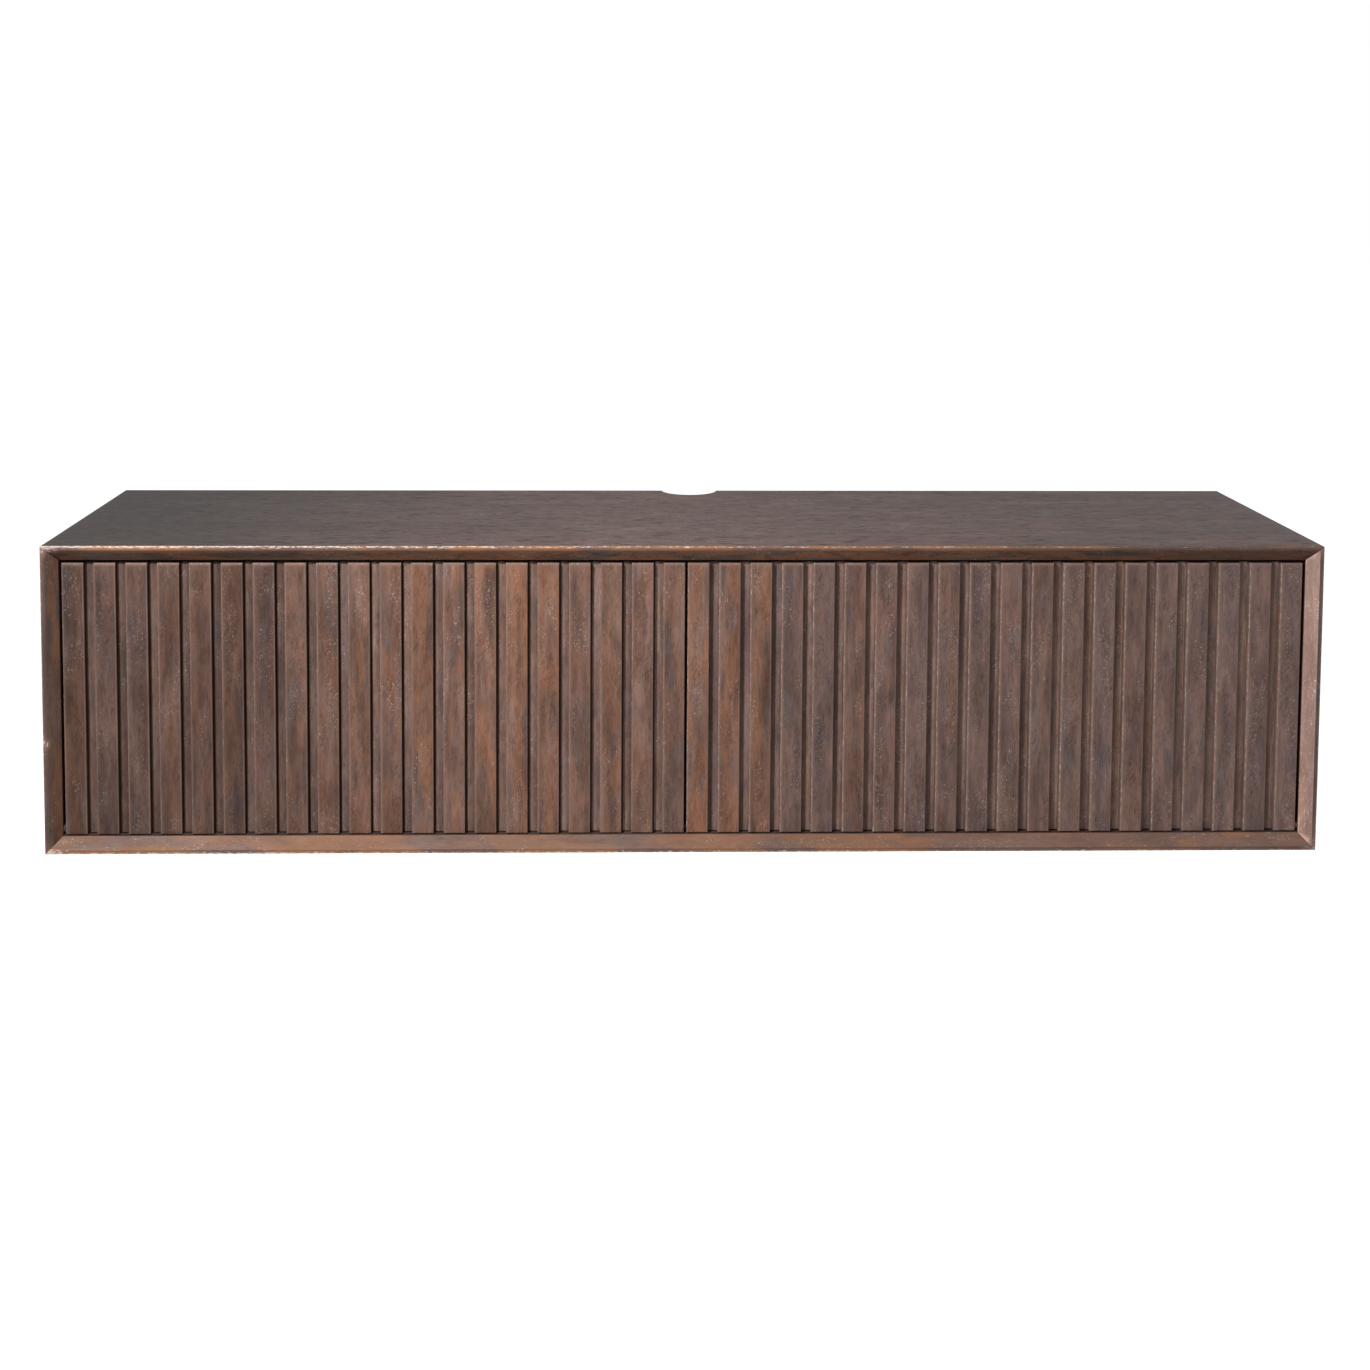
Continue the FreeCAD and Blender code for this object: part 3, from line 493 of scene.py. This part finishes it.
def slat(lo, hi, own, draw, wear_and_highlight):
    """One slat with rounded front arrises, a little uneven from the sanding block.

    wear says how far the stain is rubbed off its left and upper arrises; as these face the lamp,
    this is also a painted highlight. The right side, which faces away from the lamp, is painted
    dark as painted shade, deepest at the board.
    """
    bm = plank(lo, hi)
    size = hi - lo
    front = [edge for edge in bm.edges if all(vert.co.y < lo.y + mm for vert in edge.verts)]
    rounded(bm, front, slat_arris, 3)
    score(bm, 0, [lo.x + slat_shoulder, (lo.x + hi.x) / 2, hi.x - slat_shoulder])
    score(bm, 2, [lo.z + slat_end + (size.z - 2 * slat_end) * i / slat_rows
                  for i in range(slat_rows + 1)])
    stave = bm.faces.layers.float_vector.new("stave")
    for face in bm.faces:
        face[stave] = own
    rub_and_highlight = bm.verts.layers.float.new("rub_and_highlight")
    painted_shade = bm.verts.layers.float.new("painted_shade")
    lean = draw.uniform(-0.12, 0.12) * mm
    for vert in bm.verts:
        x, y, z = vert.co
        from_left = Vector((x - lo.x, (y - lo.y) * 0.4)).length
        from_right = Vector((hi.x - x, y - lo.y)).length
        from_top = Vector((hi.z - z, y - lo.y)).length
        nearest = min(from_left, from_right * 1.8)
        # the left arris and the upper end, which face the lamp, get a painted highlight along with
        # the rubbing
        vert[rub_and_highlight] = max(wear_and_highlight * fade(nearest, arris_wear_and_highlight), 0.8 * fade(from_top, wear_and_highlight_behind))
        # painted shade on the right side, which faces away from the lamp, darker towards the board
        if x > hi.x - 0.05 * mm:
            vert[painted_shade] = min(1.0, (y - lo.y) / (0.4 * size.y))
        if y < lo.y + slat_arris * 1.2:
            across = (x - lo.x) / size.x - 0.5
            uneven = abs(noise.noise(Vector((x * 90, own.x * 50, z * 18))))
            vert.co.y += sanded_off + lean * across + sanding_hollows * uneven
    return bm


def pin_bores(lo, hi):
    """The drill that clears the wood round the hinge pins, at both ends of a flap."""
    drill = bmesh.new()
    past = mm
    turn = Matrix.Rotation(math.radians(90), 4, "Y")
    for end, inwards in ((lo.x, 1), (hi.x, -1)):
        middle = Vector((end + inwards * (pin_bore_depth - past) / 2, *hinge_pin_axis))
        bmesh.ops.create_cone(drill, cap_ends=True, segments=24, radius1=pin_bore_radius,
                              radius2=pin_bore_radius, depth=pin_bore_depth + past,
                              matrix=Matrix.Translation(middle) @ turn)
    return placed("pin_drill", drill)


def taken_in(joined, one):
    """Adds one part to the mesh that joins its like."""
    turned_out(one)
    one_mesh = bpy.data.meshes.new("part")
    one.to_mesh(one_mesh)
    one.free()
    joined.from_mesh(one_mesh)
    bpy.data.meshes.remove(one_mesh)


def flap_slats(side, seed, wear_and_highlight, places, brightness, warmth):
    """The slats of one flap, with brightness and warmth graded between places along it."""
    lo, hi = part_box(side + "_flap_slats")
    pitch = (hi.x - lo.x + groove) / slat_count
    draw = random.Random(seed)
    joined = bmesh.new()
    joined.verts.layers.float.new("rub_and_highlight")
    joined.verts.layers.float.new("painted_shade")
    joined.faces.layers.float_vector.new("stave")
    for i in range(slat_count):
        start = lo.x + i * pitch
        along = i / (slat_count - 1)
        own = Vector((draw.random(),
                      np.interp(along, places, brightness) + draw.uniform(-0.08, 0.08),
                      np.interp(along, places, warmth) + draw.uniform(-0.25, 0.25)))
        taken_in(joined, slat(Vector((start, lo.y, lo.z)),
                              Vector((start + pitch - groove, hi.y, hi.z)), own, draw, wear_and_highlight))
    slats = finished(side + "_slats", joined, slat_mango, "flap_" + side, side + "_flap_slats")
    pin_drill = pin_bores(lo, hi)
    pocketed(slats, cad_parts[side + "_flap_hinge_leaves"], pin_drill)
    bpy.data.objects.remove(pin_drill)


# the brightness graded along each flap is partly painted light: the right flap is made lighter
# where the lamp's light falls off
flap_slats("left", 11, wear_and_highlight=0.75, places=(0.0, 0.3, 0.65, 1.0),
           brightness=(0.82, 0.90, 1.46, 1.36), warmth=(0.5, 0.6, 1.0, 0.8))
flap_slats("right", 12, wear_and_highlight=0.9, places=(0.0, 0.08, 0.16, 1.0),
           brightness=(1.36, 1.25, 1.12, 1.36), warmth=(1.4, 1.2, 0.35, 0.2))

# ---- The flap boards ----
# The 13 mm board behind each flap's slats, glued up from upright mango staves, stained with them
# and let out at the lower corners for the hinge leaves.

board_tone = dict(slat_tone, dark="#6a5348", middle="#7a6154", light="#8a7063")
# how wide the painted shadow to the right of each slat lies: wider on the right flap, where the
# lamp's light comes in lower from the left
painted_shadow_width = {"left": 3.2 * mm, "right": 9.5 * mm}
# lighter than the slats, as painted light against the shade in the grooves, which shows on the
# inside too; dark in the grooves with painted shadow
board_mango = stained_mango("stained_mango_flap_boards", 2, board_tone, (17, 150), warmth=0.6,
                            grey=0.4, figure=0.4, dashes=0.2, rubbing=0.5, shine=0.08)
board_arris = 0.8 * mm
stave_width = 62 * mm


def flap_board(side, seed, painted_shadow_depth, places, brightness):
    """The board of one flap, its brightness graded between places along it.

    Painted shadow lies dark in the groove to the right of each slat, where the slat shades it, and
    on the top edge behind its front, where the top board shades it. The graded brightness is partly
    painted light: the right flap's board is made lighter where the lamp's light falls off.
    """
    lo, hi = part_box(side + "_flap_board")
    bm = plank(lo, hi)
    rear = [edge for edge in bm.edges if all(vert.co.y > hi.y - mm for vert in edge.verts)]
    rounded(bm, rear, board_arris, 2)
    joints = [lo.x + i * stave_width for i in range(1, int((hi.x - lo.x) / stave_width) + 1)]
    pitch = (hi.x - lo.x + groove) / slat_count
    corners = [lo.x + i * pitch - groove for i in range(1, slat_count)]
    width = painted_shadow_width[side]
    painted_shadow_edges = [corner + part * width for corner in corners for part in (0.5, 1)]
    score(bm, 0, joints + corners + painted_shadow_edges)
    painted_shade = bm.verts.layers.float.new("painted_shade")
    for vert in bm.verts:
        past = min((vert.co.x - corner for corner in corners if vert.co.x > corner - 0.01 * mm),
                   default=width)
        if vert.co.y < lo.y + mm and past < width:
            vert[painted_shade] = min(1.0, 1.8 * (1 - past / width)) * painted_shadow_depth
        if vert.co.z > hi.z - 0.1 * mm and vert.co.y > lo.y + mm:
            vert[painted_shade] = 1.0
    draw = random.Random(seed)
    shades = np.interp(np.linspace(0, 1, len(joints) + 1), places, brightness)
    owns = [Vector((draw.random(), shade * draw.uniform(0.9, 1.1), draw.uniform(0.1, 0.5)))
            for shade in shades]
    stave = bm.faces.layers.float_vector.new("stave")
    for face in bm.faces:
        face[stave] = owns[sum(face.calc_center_median().x > joint for joint in joints)]
    turned_out(bm)
    board = finished(side + "_board", bm, board_mango, "flap_" + side, side + "_flap_board")
    pocketed(board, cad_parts[side + "_flap_hinge_leaves"])


flap_board("left", 21, painted_shadow_depth=1.0, places=(0.0, 0.3, 0.65, 1.0),
           brightness=(0.98, 1.04, 1.50, 1.50))
flap_board("right", 22, painted_shadow_depth=0.6, places=(0.0, 1.0), brightness=(1.7, 1.6))

# ---- The centre divider ----
# An upright mango board between the two compartments, housed in the top and bottom and cut out
# at the rear for cables. It carries the inner stay of each flap.

weld_distance = 0.002 * mm
flat_angle = math.radians(0.5)
square_angle = math.radians(40)


def eased(node, name, arris, material, body, own=None):
    """The node's own shape with its arrises broken, as a file or a sanding block leaves them."""
    bm = bmesh.new()
    bm.from_mesh(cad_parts[node].data)
    bmesh.ops.remove_doubles(bm, verts=bm.verts, dist=weld_distance)
    bmesh.ops.dissolve_limit(bm, angle_limit=flat_angle, verts=bm.verts, edges=bm.edges,
                             delimit={"NORMAL"})
    square = [edge for edge in bm.edges if edge.is_manifold and edge.is_convex
              and edge.calc_face_angle() > square_angle]
    rounded(bm, square, arris, 2, clamp=True)
    if own:
        stave = bm.faces.layers.float_vector.new("stave")
        for face in bm.faces:
            face[stave] = own
    turned_out(bm)
    finished(name, bm, material, body, node)


# the case's own brown, hardly worn
inside_mango = stained_mango("stained_mango_inside", 2, case_tone, (24, 200), warmth=0.5,
                             grey=0.3, figure=0.2, dashes=0.35, rubbing=0.4)
eased("centre_divider", "divider", 0.8 * mm, inside_mango, "carcass",
      Vector((0.3, 1.05, 0.5)))

# ---- The hanging rails ----
# Three planed hardwood battens glued between the side boards behind the back panel, with 9 mm
# holes for the wall bolts. The case hangs on the upper two.

rail_tone = {"dark": "#6f5340", "middle": "#86664f", "light": "#9a7a61", "warm": "#9a6d4a",
             "cool": "#8a6e5c", "cold": "#7d6f64", "dust": "#b3a394", "thin": "#a88a72",
             "gold": "#a8845f", "rubbed": "#bda28a"}
# light brown and matt from the plane, the same grain with no dark stain on it
planed_hardwood = stained_mango("planed_hardwood", 0, rail_tone, (24, 300), warmth=0.5, grey=0.2,
                                figure=0.1, dashes=0.2, rubbing=0.3, satin=(0.60, 0.75))
rails = (("upper_hanging_rail_left", "upper_rail_left", 0.21),
         ("upper_hanging_rail_right", "upper_rail_right", 0.58),
         ("lower_hanging_rail", "lower_rail", 0.83))
for node, name, offset in rails:
    eased(node, name, 1.2 * mm, planed_hardwood, "carcass",
          Vector((offset, 1.0, 0.4)))

# ---- The mitre splines ----
# Loose hardwood tongues glued into slots in the four mitres. They key the boards together, and are
# out of sight once the case is glued up.

eased("mitre_splines", "splines", 0.3 * mm, planed_hardwood, "carcass",
      Vector((0.37, 1.0, 0.4)))

# ---- The back panel ----
# One sheet of 6 mm plywood, rotary-cut face, stained dark and left matt, set in grooves of the four
# boards and screwed to the rails. It has a cable hole behind each compartment.

stained_plywood, tree = new_material("stained_plywood")
place = add(tree, "ShaderNodeTexCoord").outputs["Object"]
figure = mottled(tree, place, (220, 30, 34), detail=3.0, wander=0.9)
# the peeled veneer shows wide wandering growth rings
rings = add(tree, "ShaderNodeMath", {0: figure, 1: 58.0}, operation="MULTIPLY").outputs[0]
rings = add(tree, "ShaderNodeMath", {0: rings}, operation="SINE").outputs[0]
rings = add(tree, "ShaderNodeMapRange", {"Value": rings, "From Min": -1.0, "From Max": 1.0,
                                         "To Min": 0.0, "To Max": 0.45}).outputs["Result"]
sheet_shade = add(tree, "ShaderNodeMix", {0: figure, 6: linear("#4a3b32"), 7: linear("#66523f")},
                  data_type="RGBA").outputs[2]
sheet_shade = add(tree, "ShaderNodeMix", {0: rings, 6: sheet_shade, 7: linear("#3b2e27")},
                  data_type="RGBA").outputs[2]
# pores drawn 1.4 mm wide so that they show
pore = mottled(tree, place, (9, 1.4, 1.4))
pore = add(tree, "ShaderNodeMapRange", {"Value": pore, "From Min": 0.58, "From Max": 0.70,
                                        "To Max": 0.5}).outputs["Result"]
sheet_shade = add(tree, "ShaderNodeMix", {0: pore, 6: sheet_shade, 7: linear("#2b211b")},
                  data_type="RGBA").outputs[2]
rough = add(tree, "ShaderNodeMapRange", {"Value": figure, "To Min": 0.68,
                                         "To Max": 0.84}).outputs["Result"]
surfaced(tree, pore, 0.3, 0.1 * mm,
         {"Base Color": sheet_shade, "Roughness": rough, "Specular IOR Level": 0.2}, invert=True)


def dress(node, material):
    """Gives a CAD node its finish."""
    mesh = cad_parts[node].data
    mesh.materials.clear()
    mesh.materials.append(material)


dress("back_panel", stained_plywood)

# ---- The screws ----
# Countersunk steel wood screws with a cross recess, bright zinc plated. Their heads sit flush in
# the back panel, the hinge leaves, the stay plates and the latch flanges.


def plated(name, deep, bright, cloud, marks, along, satin):
    """Plated metal: cloudy from the bath, with fine marks drawn along an axis.

    cloud and marks are the sizes in mm of one cloud and of the spacing of the marks, and satin is
    the roughness where the plating is brightest and where it is deepest.
    """
    material, tree = new_material(name)
    place = add(tree, "ShaderNodeTexCoord").outputs["Object"]
    bath = mottled(tree, place, [cloud] * 3, detail=3.0)
    size = [marks] * 3
    size[along] = 30 * marks
    drawn = mottled(tree, place, size)
    both = add(tree, "ShaderNodeMath", {0: bath, 1: drawn}, operation="MULTIPLY").outputs[0]
    low, high = 0.12, 0.40
    share = add(tree, "ShaderNodeMapRange",
                {"Value": both, "From Min": low, "From Max": high}).outputs["Result"]
    shade = add(tree, "ShaderNodeMix", {0: share, 6: linear(deep), 7: linear(bright)},
                data_type="RGBA").outputs[2]
    rough = add(tree, "ShaderNodeMapRange",
                {"Value": both, "From Min": low, "From Max": high, "To Min": satin[1],
                 "To Max": satin[0]}).outputs["Result"]
    surfaced(tree, drawn, 0.15, 0.03 * mm,
             {"Base Color": shade, "Metallic": 1.0, "Roughness": rough})
    return material


# bright, with fine marks from the wire and the bath
zinc_screws = plated("zinc_plated_screws", "#8b8b88", "#c9cac8", cloud=2.0, marks=0.5, along=2,
                     satin=(0.26, 0.42))
head_sides = 24
recess_pattern = (1.0, 1.035, 0.52, 0.38, 0.52, 1.035)      # a quarter of the cross
recess_share = 0.56     # of the head's radius
recess_depth = 0.42     # of the head's radius
recess_taper = 0.62
shank_share = 0.52      # of the head's radius


def loose_solids(node):
    """The corner points of each separate solid of a CAD node."""
    bm = bmesh.new()
    bm.from_mesh(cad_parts[node].data)
    bmesh.ops.remove_doubles(bm, verts=bm.verts, dist=weld_distance)
    seen, solids = set(), []
    for first in bm.verts:
        if first in seen:
            continue
        seen.add(first)
        waiting, points = [first], []
        while waiting:
            vert = waiting.pop()
            points.append(vert.co.copy())
            for edge in vert.link_edges:
                other = edge.other_vert(vert)
                if other not in seen:
                    seen.add(other)
                    waiting.append(other)
        solids.append(points)
    bm.free()
    return solids


def screw(head_radius, shank_radius, length):
    """One screw, its head's face at z = 0, its point down."""
    bm = bmesh.new()
    bmesh.ops.create_circle(bm, cap_ends=True, segments=head_sides, radius=head_radius)
    face = bm.faces[:][0]
    if face.normal.z < 0:
        face.normal_flip()
    rim = bm.edges[:]
    bmesh.ops.inset_region(bm, faces=[face], thickness=head_radius - recess_share * head_radius,
                           use_even_offset=True)
    inner = [face for face in bm.faces if len(face.verts) == head_sides][0]
    start = math.atan2(inner.verts[0].co.y, inner.verts[0].co.x)
    for vert in inner.verts:
        turn = round((math.atan2(vert.co.y, vert.co.x) - start) / (math.tau / head_sides))
        vert.co *= recess_pattern[turn % len(recess_pattern)]
    sunk = bmesh.ops.extrude_discrete_faces(bm, faces=[inner])["faces"][0]
    for vert in sunk.verts:
        vert.co = Vector((vert.co.x * recess_taper, vert.co.y * recess_taper,
                          -recess_depth * head_radius))
    cone = head_radius - shank_radius
    profile = ((shank_radius, -cone), (shank_radius, -0.8 * length), (0.15 * shank_radius, -length))
    for radius, height in profile:
        made = bmesh.ops.extrude_edge_only(bm, edges=rim)["geom"]
        for vert in (part for part in made if isinstance(part, bmesh.types.BMVert)):
            flat = Vector((vert.co.x, vert.co.y)).normalized() * radius
            vert.co = Vector((flat.x, flat.y, height))
        rim = [part for part in made if isinstance(part, bmesh.types.BMEdge)]
    bmesh.ops.holes_fill(bm, edges=rim)
    return bm


def screws(node, name, body):
    """The screws of a CAD node, each in its solid's place and turned the way its head lies."""
    joined = bmesh.new()
    for points in loose_solids(node):
        lo = Vector([min(point[i] for point in points) for i in range(3)])
        hi = Vector([max(point[i] for point in points) for i in range(3)])
        axis = max(range(3), key=lambda i: (hi - lo)[i])
        centre = (lo + hi) / 2

        def spread(end):
            """How far the solid reaches out from its axis at one end."""
            reach = 0.0
            for point in points:
                if abs(point[axis] - end) < 0.01 * mm:
                    on_axis = centre.copy()
                    on_axis[axis] = point[axis]
                    reach = max(reach, (point - on_axis).length)
            return reach

        heads_up = spread(hi[axis]) > spread(lo[axis])
        outward = Vector((0, 0, 0))
        outward[axis] = 1 if heads_up else -1
        head = centre.copy()
        head[axis] = hi[axis] if heads_up else lo[axis]
        radius = max(spread(hi[axis]), spread(lo[axis]))
        one = screw(radius, shank_share * radius, (hi - lo)[axis])
        turn = Vector((0, 0, 1)).rotation_difference(outward).to_matrix().to_4x4()
        bmesh.ops.transform(one, matrix=Matrix.Translation(head) @ turn, verts=one.verts)
        taken_in(joined, one)
    finished(name, joined, zinc_screws, body, node)


screws("back_panel_screws", "screws_back_panel", "carcass")
for side in ("left", "right"):
    flap = "flap_" + side
    for node, body in (("carcass_hinge_screws", "carcass"), ("flap_hinge_screws", flap),
                       ("flap_striker_screws", flap), ("stay_base_screws", "carcass"),
                       ("stay_bracket_screws", flap), ("latch_screws", "carcass")):
        screws(side + "_" + node, "screws_" + side + "_" + node.replace("_screws", ""), body)

# ---- The hinges ----
# Knife hinges of pressed steel, zinc plated and drawn near black as painted shade: a leaf let into
# each side board, one into each lower corner of a flap, and a tongue on dowels under the divider
# that carries both inner pins. A thin acetal washer keeps each outer leaf off the side board.

# near black and satin, painted shade: the leaves and pins sit in the dark gaps and are drawn as
# dark as that shade, so that none shines there
zinc_dark_as_shade = plated("zinc_plated_steel_dark_as_shade", "#141517", "#26272a", cloud=9.0, marks=0.6,
                    along=1, satin=(0.40, 0.55))
pressed_arris = 0.25 * mm

grey_acetal, tree = new_material("grey_acetal")
place = add(tree, "ShaderNodeTexCoord").outputs["Object"]
# dark grey and dull, with the fine grain of a spark-eroded mould and clouds where it flowed
mould = mottled(tree, place, [0.6] * 3)
flow = mottled(tree, place, [14] * 3)
acetal_shade = add(tree, "ShaderNodeMix", {0: flow, 6: linear("#222325"), 7: linear("#2f3033")},
                   data_type="RGBA").outputs[2]
rough = add(tree, "ShaderNodeMapRange", {"Value": mould, "To Min": 0.40,
                                         "To Max": 0.62}).outputs["Result"]
surfaced(tree, mould, 0.25, 0.04 * mm,
         {"Base Color": acetal_shade, "Roughness": rough, "IOR": 1.48})

eased("centre_hinge_tongue", "hinge_tongue", pressed_arris, zinc_dark_as_shade, "carcass")
dress("hinge_tongue_dowels", zinc_dark_as_shade)
for side in ("left", "right"):
    eased(side + "_carcass_hinge_leaf", side + "_case_leaf", pressed_arris, zinc_dark_as_shade, "carcass")
    eased(side + "_flap_hinge_leaves", side + "_flap_leaves", pressed_arris, zinc_dark_as_shade,
          "flap_" + side)
    dress(side + "_flap_thrust_washer", grey_acetal)

# ---- The stays ----
# Two sliding-bar stays to a flap. A flat steel bar turns on a pin in the flap's bracket and runs
# through a die-cast guide, which swivels on a base screwed to the side board or the divider. A
# brass screw sets the friction, and a grey stop on the bar's tail ends the travel.

# cool grey and cloudy from the bath
zinc_steel = plated("zinc_plated_steel", "#85888b", "#bcbfc1", cloud=9.0, marks=0.6, along=1,
                    satin=(0.32, 0.46))
# warmer, with the soft bloom of a casting under the nickel
die_cast = plated("nickel_plated_die_casting", "#86837d", "#bdbab2", cloud=5.0, marks=1.0,
                  along=0, satin=(0.30, 0.44))
# bright, with a breath of yellow from the brass
nickel_brass = plated("nickel_plated_brass", "#a39a86", "#dcd5c4", cloud=4.0, marks=0.4, along=0,
                      satin=(0.18, 0.30))
bar_arris = 0.4 * mm
cast_arris = 0.5 * mm
turned_arris = 0.2 * mm
for side in ("left", "right"):
    eased(side + "_stay_bases", side + "_bases", pressed_arris, zinc_steel, "carcass")
    eased(side + "_stay_brackets", side + "_brackets", pressed_arris, zinc_steel, "flap_" + side)
    eased(side + "_stay_bars", side + "_bars", bar_arris, zinc_steel, "stay_bars_" + side)
    eased(side + "_stay_end_stops", side + "_end_stops", cast_arris, grey_acetal,
          "stay_bars_" + side)
    eased(side + "_stay_guides", side + "_guides", cast_arris, die_cast, "stay_guides_" + side)
    eased(side + "_stay_friction_screws", side + "_friction_screws", turned_arris, nickel_brass,
          "stay_guides_" + side)

# ---- The latches ----
# A push latch under the top at the middle of each flap: an acetal housing, a sprung plunger with
# a nickel-plated magnet in its nose, and a zinc-plated striker on the flap.

# nearly a mirror
nickel_magnet = plated("nickel_plated_magnet", "#98958e", "#d2d0ca", cloud=6.0, marks=0.8,
                       along=1, satin=(0.14, 0.24))
nose_arris = 0.3 * mm
for side in ("left", "right"):
    eased(side + "_latch_housing", side + "_housing", cast_arris, grey_acetal, "carcass")
    eased(side + "_latch_plunger", side + "_plunger", nose_arris, grey_acetal,
          "latch_plunger_" + side)
    eased(side + "_latch_magnet", side + "_magnet", nose_arris, nickel_magnet,
          "latch_plunger_" + side)
    eased(side + "_flap_striker_plate", side + "_striker_plate", pressed_arris, zinc_steel,
          "flap_" + side)

# ---- The room ----
# A pale floor a metre under the console, white surroundings, a small lamp close in at the left
# front, a weak wide one from the right, and two behind the front that light the sides and back.

floor_height = -1.0
floor_radius = 30
disc = bmesh.new()
bmesh.ops.create_circle(disc, cap_ends=True, segments=64, radius=floor_radius)
bmesh.ops.translate(disc, vec=(0, 0, floor_height), verts=disc.verts)
studio_floor = placed("studio_floor", disc)

# rolled on, with clouds a metre across that hardly show
floor_paint, tree = new_material("pale_floor_paint")
path = add(tree, "ShaderNodeLightPath")
place = add(tree, "ShaderNodeTexCoord").outputs["Object"]
cloud = add(tree, "ShaderNodeTexNoise",
            {"Vector": place, "Scale": 0.8, "Detail": 2.0}).outputs["Fac"]
paint_shade = add(tree, "ShaderNodeMix", {0: cloud, 6: linear("#f4f3f1"), 7: linear("#f8f8f7")},
                  data_type="RGBA").outputs[2]
matt = add(tree, "ShaderNodeBsdfDiffuse", {"Color": paint_shade})
seen = add(tree, "ShaderNodeMath", {0: path.outputs["Is Camera Ray"], 1: 0.95},
           operation="MULTIPLY")
glow = add(tree, "ShaderNodeEmission", {"Color": (1, 1, 1, 1), "Strength": seen.outputs[0]})
both = add(tree, "ShaderNodeAddShader", {0: matt.outputs[0], 1: glow.outputs[0]})
add(tree, "ShaderNodeOutputMaterial", {"Surface": both.outputs[0]})
studio_floor.data.materials.append(floor_paint)

world = bpy.data.worlds.new("white_studio")
bpy.context.scene.world = world
world.use_nodes = True
tree = world.node_tree
tree.nodes.clear()
path = add(tree, "ShaderNodeLightPath")
# white where it is looked at, directly, in a reflection or through something, dim as a light
direct = path.outputs["Is Camera Ray"]
for other_ray in ("Is Glossy Ray", "Is Transmission Ray"):
    direct = add(tree, "ShaderNodeMath", {0: direct, 1: path.outputs[other_ray]},
                 operation="MAXIMUM").outputs[0]
strength = add(tree, "ShaderNodeMapRange",
               {"Value": direct, "To Min": 0.14, "To Max": 1.0}).outputs["Result"]
sky = add(tree, "ShaderNodeBackground", {"Color": (1, 1, 1, 1), "Strength": strength})
add(tree, "ShaderNodeOutputWorld", {"Surface": sky.outputs[0]})


def soft_lamp(name, place, aim, size, watts):
    """A round lamp, turned to what it lights."""
    lamp = bpy.data.lights.new(name, "AREA")
    lamp.shape = "DISK"
    lamp.size = size
    lamp.energy = watts
    holder = bpy.data.objects.new(name, lamp)
    holder.location = place
    holder.rotation_euler = (Vector(aim) - Vector(place)).to_track_quat("-Z", "Y").to_euler()
    bpy.context.scene.collection.objects.link(holder)


soft_lamp("key_lamp", (-0.7, -1.4, 0.92), (0.0, -0.39, 0.0), size=0.10, watts=22)
soft_lamp("fill_lamp", (1.0, -2.1, 0.0), (0.5, -0.39, 0.0), size=1.0, watts=9)
soft_lamp("left_lamp", (-2.4, 0.9, 0.35), (-0.6, -0.1, 0.0), size=1.0, watts=30)
soft_lamp("right_lamp", (2.4, 0.9, 0.35), (0.6, -0.1, 0.0), size=1.0, watts=30)

view_place = (-0.101, -2.618, 0.654)
view_yaw, view_pitch, view_roll = -1.27, 3.97, 0.27
lens = bpy.data.cameras.new("camera")
lens.lens = 47.47
lens.sensor_width = 36
lens.shift_x = 0.028
lens.shift_y = -0.28
lens.clip_start = 0.05
camera = bpy.data.objects.new("camera", lens)
camera.matrix_world = (Matrix.Translation(view_place)
                       @ Matrix.Rotation(math.radians(view_yaw), 4, "Z")
                       @ Matrix.Rotation(math.radians(90 - view_pitch), 4, "X")
                       @ Matrix.Rotation(math.radians(view_roll), 4, "Z"))
bpy.context.scene.collection.objects.link(camera)
bpy.context.scene.camera = camera
bpy.context.scene.view_settings.view_transform = "Standard"
